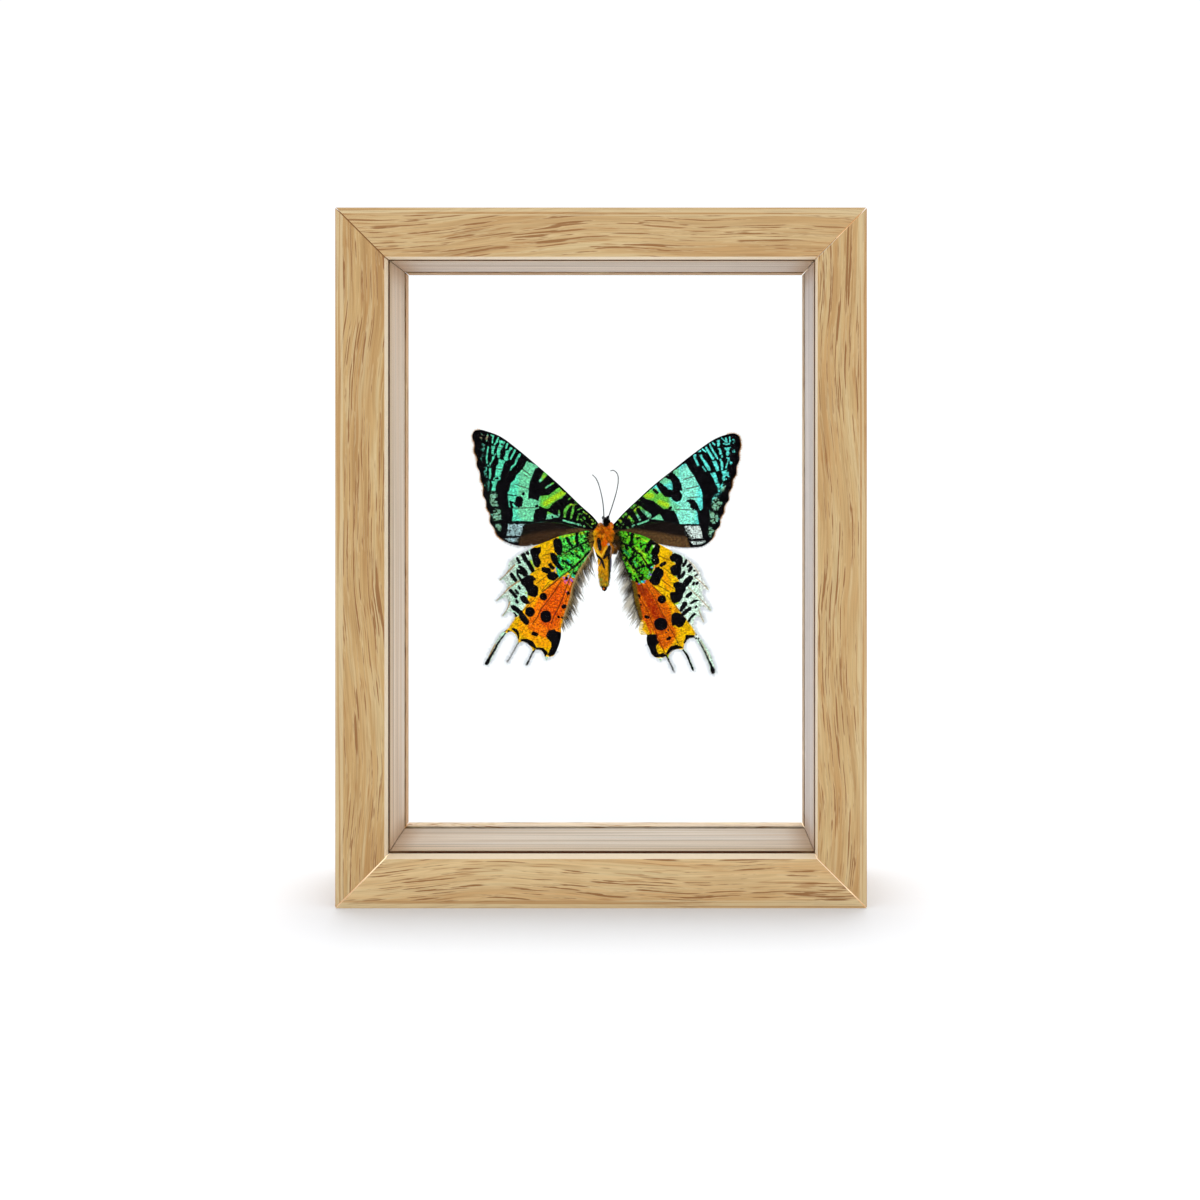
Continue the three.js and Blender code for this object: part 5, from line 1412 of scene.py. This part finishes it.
def round_form(name, centre, radii, colour_at, material, rng, lumps=0.05):
    """A rounded, slightly lumpy form with its own colours."""
    rings, around = 28, 40
    lat = np.linspace(0, math.pi, rings)[1:-1]
    lon = np.arange(around) * 2 * math.pi / around
    grid_lat, grid_lon = np.meshgrid(lat, lon, indexing="ij")
    flat = np.sin(grid_lat)
    unit = np.stack([flat * np.cos(grid_lon), flat * np.sin(grid_lon), np.cos(grid_lat)], -1)
    unit = np.vstack([unit.reshape(-1, 3), [[0, 0, 1], [0, 0, -1]]])
    wave = sum(np.sin(unit @ rng.normal(0, 3, 3) + rng.uniform(0, 6)) for _ in range(5)) / 5
    points = centre + unit * radii * (1 + lumps * wave[:, None])
    index = np.arange((rings - 2) * around).reshape(rings - 2, around)
    near, far = index[:-1], index[1:]
    quads = np.stack([near, far, np.roll(far, -1, 1), np.roll(near, -1, 1)], -1).reshape(-1, 4).tolist()
    top, bottom = len(unit) - 2, len(unit) - 1
    quads += [(top, index[0, i], index[0, (i + 1) % around]) for i in range(around)]
    quads += [(bottom, index[-1, (i + 1) % around], index[-1, i]) for i in range(around)]
    obj = new_object(name, body_place(points), quads, [material])
    add_colours(obj, "ground", colour_at(points))
    dress(obj, "body_hair", "moth_body")


def spotted(base, spots, u, v):
    """A base colour with soft round spots of others: colour, size, [u, v]."""
    colour = np.tile(linear(base), (len(u), 1))
    for tint, size, (spot_u, spot_v) in spots:
        near = np.exp(-((u - spot_u) ** 2 + (v - spot_v) ** 2) / size ** 2)[:, None]
        colour = colour + (linear(tint) - colour) * near
    return colour


def freckle(colour, u, v, low, high, count, palette, size):
    """Small soft spots of mixed colours scattered between two corners, the same each time."""
    rng = np.random.default_rng(count)
    for spot_u, spot_v in rng.uniform(low, high, (count, 2)):
        tint = linear(palette[rng.integers(len(palette))])
        near = 0.85 * np.exp(-((u - spot_u) ** 2 + (v - spot_v) ** 2) / size ** 2)[:, None]
        colour = colour + (tint - colour) * near
    return colour


def thorax_colours(points):
    """Orange hair, golden on the left, browner on the right and towards the wings."""
    spots = [
        ((250, 186, 14), 1.5, (-3, 2.4)), ((250, 180, 20), 1.0, (-2.6, 0.8)),
        ((240, 150, 10), 1.2, (-1.5, 4.4)), ((204, 84, 2), 1.0, (0, 2.6)),
        ((222, 118, 6), 1.2, (1.9, 4)), ((226, 84, 2), 0.9, (0.1, -0.6)),
        ((176, 104, 12), 1.0, (2.6, 1.6)), ((96, 60, 12), 1.3, (3.6, 0.4)),
        ((84, 56, 14), 1.3, (3, -1.4)), ((196, 130, 30), 1.0, (-3.8, -0.6)),
        ((176, 140, 90), 0.7, (-2.2, 5.2)), ((60, 40, 16), 0.5, (1.6, -0.9)),
    ]
    u, v = points[:, 0], points[:, 2]
    palette = [(255, 200, 44), (248, 150, 10), (140, 44, 2), (90, 42, 4), (214, 92, 2), (60, 28, 6)]
    return freckle(spotted((242, 136, 4), spots, u, v), u, v, (-3.7, -1.6), (3.7, 4.8), 130, palette,
                   0.27)


def abdomen_colours(u, v):
    """Golden hair, olive lower down, a dark line on the right and a black tip."""
    spots = [
        ((248, 186, 16), 1.0, (-1.2, -6.5)), ((180, 120, 8), 0.8, (-0.6, -10.6)),
        ((232, 164, 8), 0.8, (0.2, -9)), ((170, 96, 20), 0.6, (-0.2, -12.8)),
        ((150, 140, 50), 0.8, (-1.2, -12.4)), ((160, 170, 60), 0.7, (-1, -13.9)),
        ((140, 160, 50), 0.6, (0.9, -13.4)), ((200, 130, 20), 0.6, (0.5, -11.6)),
    ]
    colour = spotted((252, 186, 4), spots, u, v)
    olive = [(72, 62, 8), (52, 78, 14), (246, 190, 24), (118, 80, 8), (140, 190, 70)]
    amber = [(150, 84, 6), (255, 202, 48), (110, 62, 8)]
    colour = freckle(colour, u, v, (-2, -14.6), (2, -9), 90, olive, 0.22)
    colour = freckle(colour, u, v, (-2, -9.5), (2, -4), 34, amber, 0.24)
    bands = [
        (0.3 * (np.sin(v * 5.2) > 0.3), (190, 110, 14)),
        (soft_step(u - 1.15, 0.5) * soft_step(-4.6 - v, 1.5), (44, 54, 16)),
        (soft_step(-14.3 - v, 0.4), (8, 6, 6)),
        (soft_step(0.26 - np.hypot(u + 0.2, (v + 15.3) * 0.8), 0.2), (226, 104, 14)),
    ]
    for amount, tint in bands:
        colour = colour + (linear(tint) - colour) * np.asarray(amount, float)[:, None]
    return colour


def make_fuzz(name, centre, radii, count, length, colour_at, rng,
              lean=(0, -0.5, -0.5), thickness=0.055, spread=0.32):
    """Short hair standing on a rounded form, combed by lean."""
    centre, radii = np.array(centre), np.array(radii)
    unit = rng.normal(0, 1, (count, 3))
    unit /= np.linalg.norm(unit, axis=1, keepdims=True)
    roots = centre + unit * radii * 0.97
    directions = unit / radii * radii.min() + np.asarray(lean) + rng.normal(0, 0.25, (count, 3))
    directions /= np.linalg.norm(directions, axis=1, keepdims=True)
    lengths = length * rng.uniform(0.5, 1.1, count)
    steps = 4
    curves = strand_curves(roots, directions, lengths, steps, (0, 0, -0.15), 0.12, rng)
    curves = body_place(curves)
    curves[:, :, 1] = np.minimum(curves[:, :, 1], HAIR_LIMIT * MM)
    radii_mm = np.tile(np.linspace(thickness, thickness * 0.25, steps) * MM, (count, 1))
    base = colour_at(roots)
    # Each hair is painted darker at its root and lighter at its tip: painted shade deep in the fuzz,
    # painted light on the tips.
    tints = shade_strands(base * 0.75, np.clip(base * 1.15, 0, 1), steps, rng, spread)
    obj = make_strands(name, curves, radii_mm, tints, hair_material(name, 0.7, 0.32))
    dress(obj, "body_hair", "moth_body")


def make_tube(name, points, radii, colours, slot, node, material, sides, ridges):
    """A bent tube with rings along it."""
    line_points = smooth_line(points, 0.25)
    radius = np.interp(np.linspace(0, 1, len(line_points)), np.linspace(0, 1, len(radii)), radii)
    t = np.linspace(0, 1, len(line_points))[:, None]
    radius = radius * (1 + ridges * np.sin(np.arange(len(radius)) * 2.1))
    placed = body_place(line_points)
    tints = linear(colours[0]) * (1 - t) + linear(colours[1]) * t
    obj = make_strands(name, placed[None], radius[None] * MM, tints[None], material, sides)
    dress(obj, slot, node)


def make_abdomen(material, rng):
    """A tapering, faintly segmented abdomen."""
    profile = smooth_line(ABDOMEN, 0.12)
    radius, v = profile.T
    radius = radius * (1 + 0.035 * np.sin(v * 2.6))
    around = 36
    turn = np.arange(around) * 2 * math.pi / around
    u = radius[:, None] * np.cos(turn)
    y = ABDOMEN_DEPTH + radius[:, None] * np.sin(turn)
    points = np.stack([u, y, np.tile(v[:, None], (1, around))], -1).reshape(-1, 3)
    index = np.arange(len(radius) * around).reshape(len(radius), around)
    near, far = index[:-1], index[1:]
    faces = np.stack([near, np.roll(near, -1, 1), np.roll(far, -1, 1), far], -1).reshape(-1, 4).tolist()
    faces += [index[0, ::-1].tolist(), index[-1].tolist()]
    obj = new_object("abdomen", body_place(points), faces, [material])
    add_colours(obj, "ground", abdomen_colours(points[:, 0], points[:, 2]))
    dress(obj, "body_hair", "moth_body")
    make_abdomen_hair(radius, v, rng)


def make_abdomen_hair(radius, v, rng):
    """Hair that lies back towards the abdomen's tip."""
    count, steps = ABDOMEN_HAIRS, 4
    pick = rng.integers(4, len(radius), count)
    angle = rng.uniform(0, 2 * math.pi, count)
    out = np.stack([np.cos(angle), np.sin(angle), np.zeros(count)], 1)
    axis = np.stack([np.zeros(count), np.full(count, ABDOMEN_DEPTH), v[pick]], 1)
    roots = out * radius[pick][:, None] * 0.97 + axis
    directions = out * 0.3 + [0, 0, -0.95] + rng.normal(0, 0.12, (count, 3))
    lengths = rng.uniform(0.5, 1.1, count) * np.clip((v[pick] + 16.6) / 3, 0.25, 1)
    curves = strand_curves(roots, directions, lengths, steps, (0, 0, -0.1), 0.06, rng)
    curves = body_place(curves)
    widths = np.tile(np.linspace(0.05, 0.012, steps) * MM, (count, 1))
    base = abdomen_colours(roots[:, 0], roots[:, 2])
    # Each hair is painted darker at its root and lighter at its tip: painted shade deep in the hair,
    # painted light on the tips.
    tints = shade_strands(base * 0.75, np.clip(base * 1.1, 0, 1), steps, rng, 0.26)
    fuzz = make_strands("abdomen_hair", curves, widths, tints, hair_material("abdomen_hair", 0.7, 0.36))
    dress(fuzz, "body_hair", "moth_body")


def make_legs():
    """Folded legs, each a stout hairy tube that narrows to its foot."""
    shell = hair_material("leg_shell", 0.5)
    for leg in LEGS:
        widths = leg["radius"] * LEG_SWELLING
        colours = leg["colours"]
        make_tube(leg["name"], leg["points"], widths, colours, "body_hair", "moth_body", shell, 12, 0.07)


def plain(colour):
    """A colouring that is the same everywhere."""
    return lambda points: np.tile(linear(colour), (len(points), 1))


def with_spots(base, spots):
    """A colouring with soft round spots on its base."""
    return lambda points: spotted(base, spots, points[:, 0], points[:, 2])


def collar_colours(points):
    """Orange hair of mixed tones."""
    spots = [
        ((240, 136, 14), 0.7, (2.1, 4.6)),
        ((224, 108, 6), 0.7, (-1.1, 4.2)),
        ((170, 136, 88), 0.6, (-1.7, 5.2)),
    ]
    palette = [(250, 180, 40), (120, 62, 10), (200, 90, 6), (80, 46, 14)]
    u, v = points[:, 0], points[:, 2]
    return freckle(spotted((218, 106, 6), spots, u, v), u, v, (-2, 3.4), (3, 6), 36, palette, 0.26)


def make_thorax(skin, rng):
    radii = THORAX_RADII * 0.93
    round_form("thorax", THORAX_CENTRE, radii, thorax_colours, skin, rng, 0.04)
    make_fuzz("thorax_hair", THORAX_CENTRE, radii, THORAX_HAIRS, 1.0, thorax_colours, rng)
    for side, u, v in (("left", -1.2, 4.3), ("right", 1.9, 4.55)):
        size = (0.6, 0.9, 0.85)
        make_fuzz(f"collar_{side}", (u, 5.7, v), size, 900, 0.5, collar_colours, rng, (0, -0.3, -0.1))
    centre, size = (-0.1, 5.1, -0.7), (0.5, 0.9, 0.95)
    make_fuzz("thorax_tip", centre, size, 700, 0.55, plain(TIP_ORANGE), rng, (0, -0.2, -0.6))


def make_head(skin, rng):
    """The head with its hair, eyes and palps, all black."""
    shell = hair_material("eye_shell", 0.3)
    black = plain(BODY_BLACK)
    round_form("head", HEAD_CENTRE, HEAD_RADII, black, skin, rng, 0.05)
    make_fuzz("head_hair", HEAD_CENTRE, HEAD_RADII, 700, 0.5, black, rng, (0, -0.3, 0.1), 0.05)
    for eye, side in zip(EYES, ("left", "right")):
        round_form(f"eye_{side}", np.array(eye), EYE_RADII, black, shell, rng, 0.0)
    for (u, v), side in zip(TUFTS, ("left", "right")):
        lean = (-0.4 if u < 0 else 0.1, -0.2, 1.2)
        make_fuzz(f"palp_{side}", (u, 6.2, v), (0.28, 0.35, 0.4), 150, 0.45, black, rng, lean, 0.05)


def make_side_hair(rng):
    """Dark hair under the right forewing's root, pale hair at a leg's joint, and the flanks' hair."""
    brown = with_spots((38, 27, 10), [((128, 78, 18), 0.9, (3, -2)), ((92, 58, 12), 0.6, (3.8, 1))])
    centre, size = (3.2, 7.6, -1.0), (1.2, 0.8, 2.8)
    make_fuzz("root_hair_right", centre, size, 2200, 1.0, brown, rng, (0.2, -0.1, -0.9), 0.05, 0.6)
    make_fuzz("leg_joint_hair", (1.25, 4.9, -1.4), (0.3, 0.3, 0.25), 110, 0.3, plain(ASH), rng)
    flank = with_spots((218, 134, 8), [
        ((250, 184, 30), 1.1, (-2.1, -2.4)),
        ((90, 54, 10), 1.0, (1.8, -3.2)),
        ((220, 150, 40), 0.6, (0.8, -1.6)),
    ])
    for side, u in (("left", -1.5), ("right", 1.5)):
        make_fuzz(f"flank_{side}", (u, 7.3, -2.6), (1.1, 1.7, 2), 1300, 0.7, flank, rng, (0, -0.3, -1))


def make_antennae():
    horn = hair_material("antenna_cuticle", 0.6)
    for side, points in ANTENNAE.items():
        name = f"antenna_{side}_cuticle"
        node = f"antenna_{side}"
        make_tube(name, points, ANTENNA_RADII, ANTENNA_GREYS, "antenna_cuticle", node, horn, 8, 0.06)


def make_body(rng):
    skin = hair_material("body_skin", 0.7)
    make_thorax(skin, rng)
    make_head(skin, rng)
    make_side_hair(rng)
    make_abdomen(skin, rng)
    make_legs()
    make_antennae()


def make_moth():
    rng = np.random.default_rng(SEED)
    for name, wing in WINGS.items():
        make_wing(name, wing)
    for edging in CILIA:
        make_cilia(rng, **edging)
    for side in FRINGES:
        make_fringe(side, rng)
    make_body(rng)


def finish_node(name, material, bevel=0.0):
    """A CAD node keeps its shape and gets a real material, and its edges are eased when bevel is given.
    """
    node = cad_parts[name]
    node.data.materials.clear()
    node.data.materials.append(material)
    if bevel:
        modifier = node.modifiers.new("eased_edges", "BEVEL")
        modifier.width = bevel * MM
        modifier.segments = 2
        modifier.limit_method = "ANGLE"
        modifier.angle_limit = math.radians(40)


def finish_frame():
    for side, tint in OAK_TINTS.items():
        along_z = side in ("left", "right")
        finish_node(f"frame_rail_{side}", oak_material(f"oak_{side}", along_z, **tint), 0.01)
        inner = STOP_TINTS[side]
        stop = dict(light=inner, dark=tuple(c * 0.92 for c in inner), offset=tint["offset"] + 50)
        finish_node(f"back_stop_{side}", oak_material(f"stop_{side}", along_z, edge_band=False, **stop),
                    0.15)
        wall = pale_wood_material(f"spacer_{side}", along_z, offset=tint["offset"], **WALL_TINTS[side])
        finish_node(f"spacer_{side}", wall, 0.02)
    glass = glass_material()
    finish_node("glass_front", glass)
    finish_node("glass_back", glass)
    finish_node("glue_dot", glue_material())


def set_camera():
    data = bpy.data.cameras.new("camera")
    data.lens = CAMERA_LENS
    data.sensor_width = 36
    data.shift_x, data.shift_y = CAMERA_SHIFT
    data.clip_start = 0.01
    camera = bpy.data.objects.new("camera", data)
    camera.location = CAMERA_PLACE
    camera.rotation_euler = (math.pi / 2, 0, 0)
    bpy.context.collection.objects.link(camera)
    bpy.context.scene.camera = camera


def set_stage():
    """A white floor under an even white sky, with a soft sun almost overhead and a little behind."""
    scene = bpy.context.scene
    scene.view_settings.view_transform = "Standard"
    world = bpy.data.worlds.new("sky")
    scene.world = world
    world.use_nodes = True
    sky = world.node_tree.nodes["Background"]
    sky.inputs["Color"].default_value = SKY_COLOUR
    sky.inputs["Strength"].default_value = SKY_STRENGTH
    corners = [(x * FLOOR_REACH, y * FLOOR_REACH, 0) for x, y in ((-1, -1), (1, -1), (1, 1), (-1, 1))]
    n = Nodes("floor_white")
    n.paint(n.mix(n.noise(0.002, 1.0), FLOOR_DARK, FLOOR_LIGHT))
    n.set(Roughness=0.9, Specular_IOR_Level=0.1)
    new_object("floor", corners, [(0, 1, 2, 3)], [n.material], smooth=False)
    data = bpy.data.lights.new("soft_sun", "SUN")
    data.energy = SUN_STRENGTH
    data.color = SUN_COLOUR
    data.angle = math.radians(SUN_DEGREES_WIDE)
    sun = bpy.data.objects.new("soft_sun", data)
    sun.rotation_euler = (math.radians(SUN_TILT_DEGREES), 0, 0)
    bpy.context.collection.objects.link(sun)


set_camera()
set_stage()
finish_frame()
make_moth()
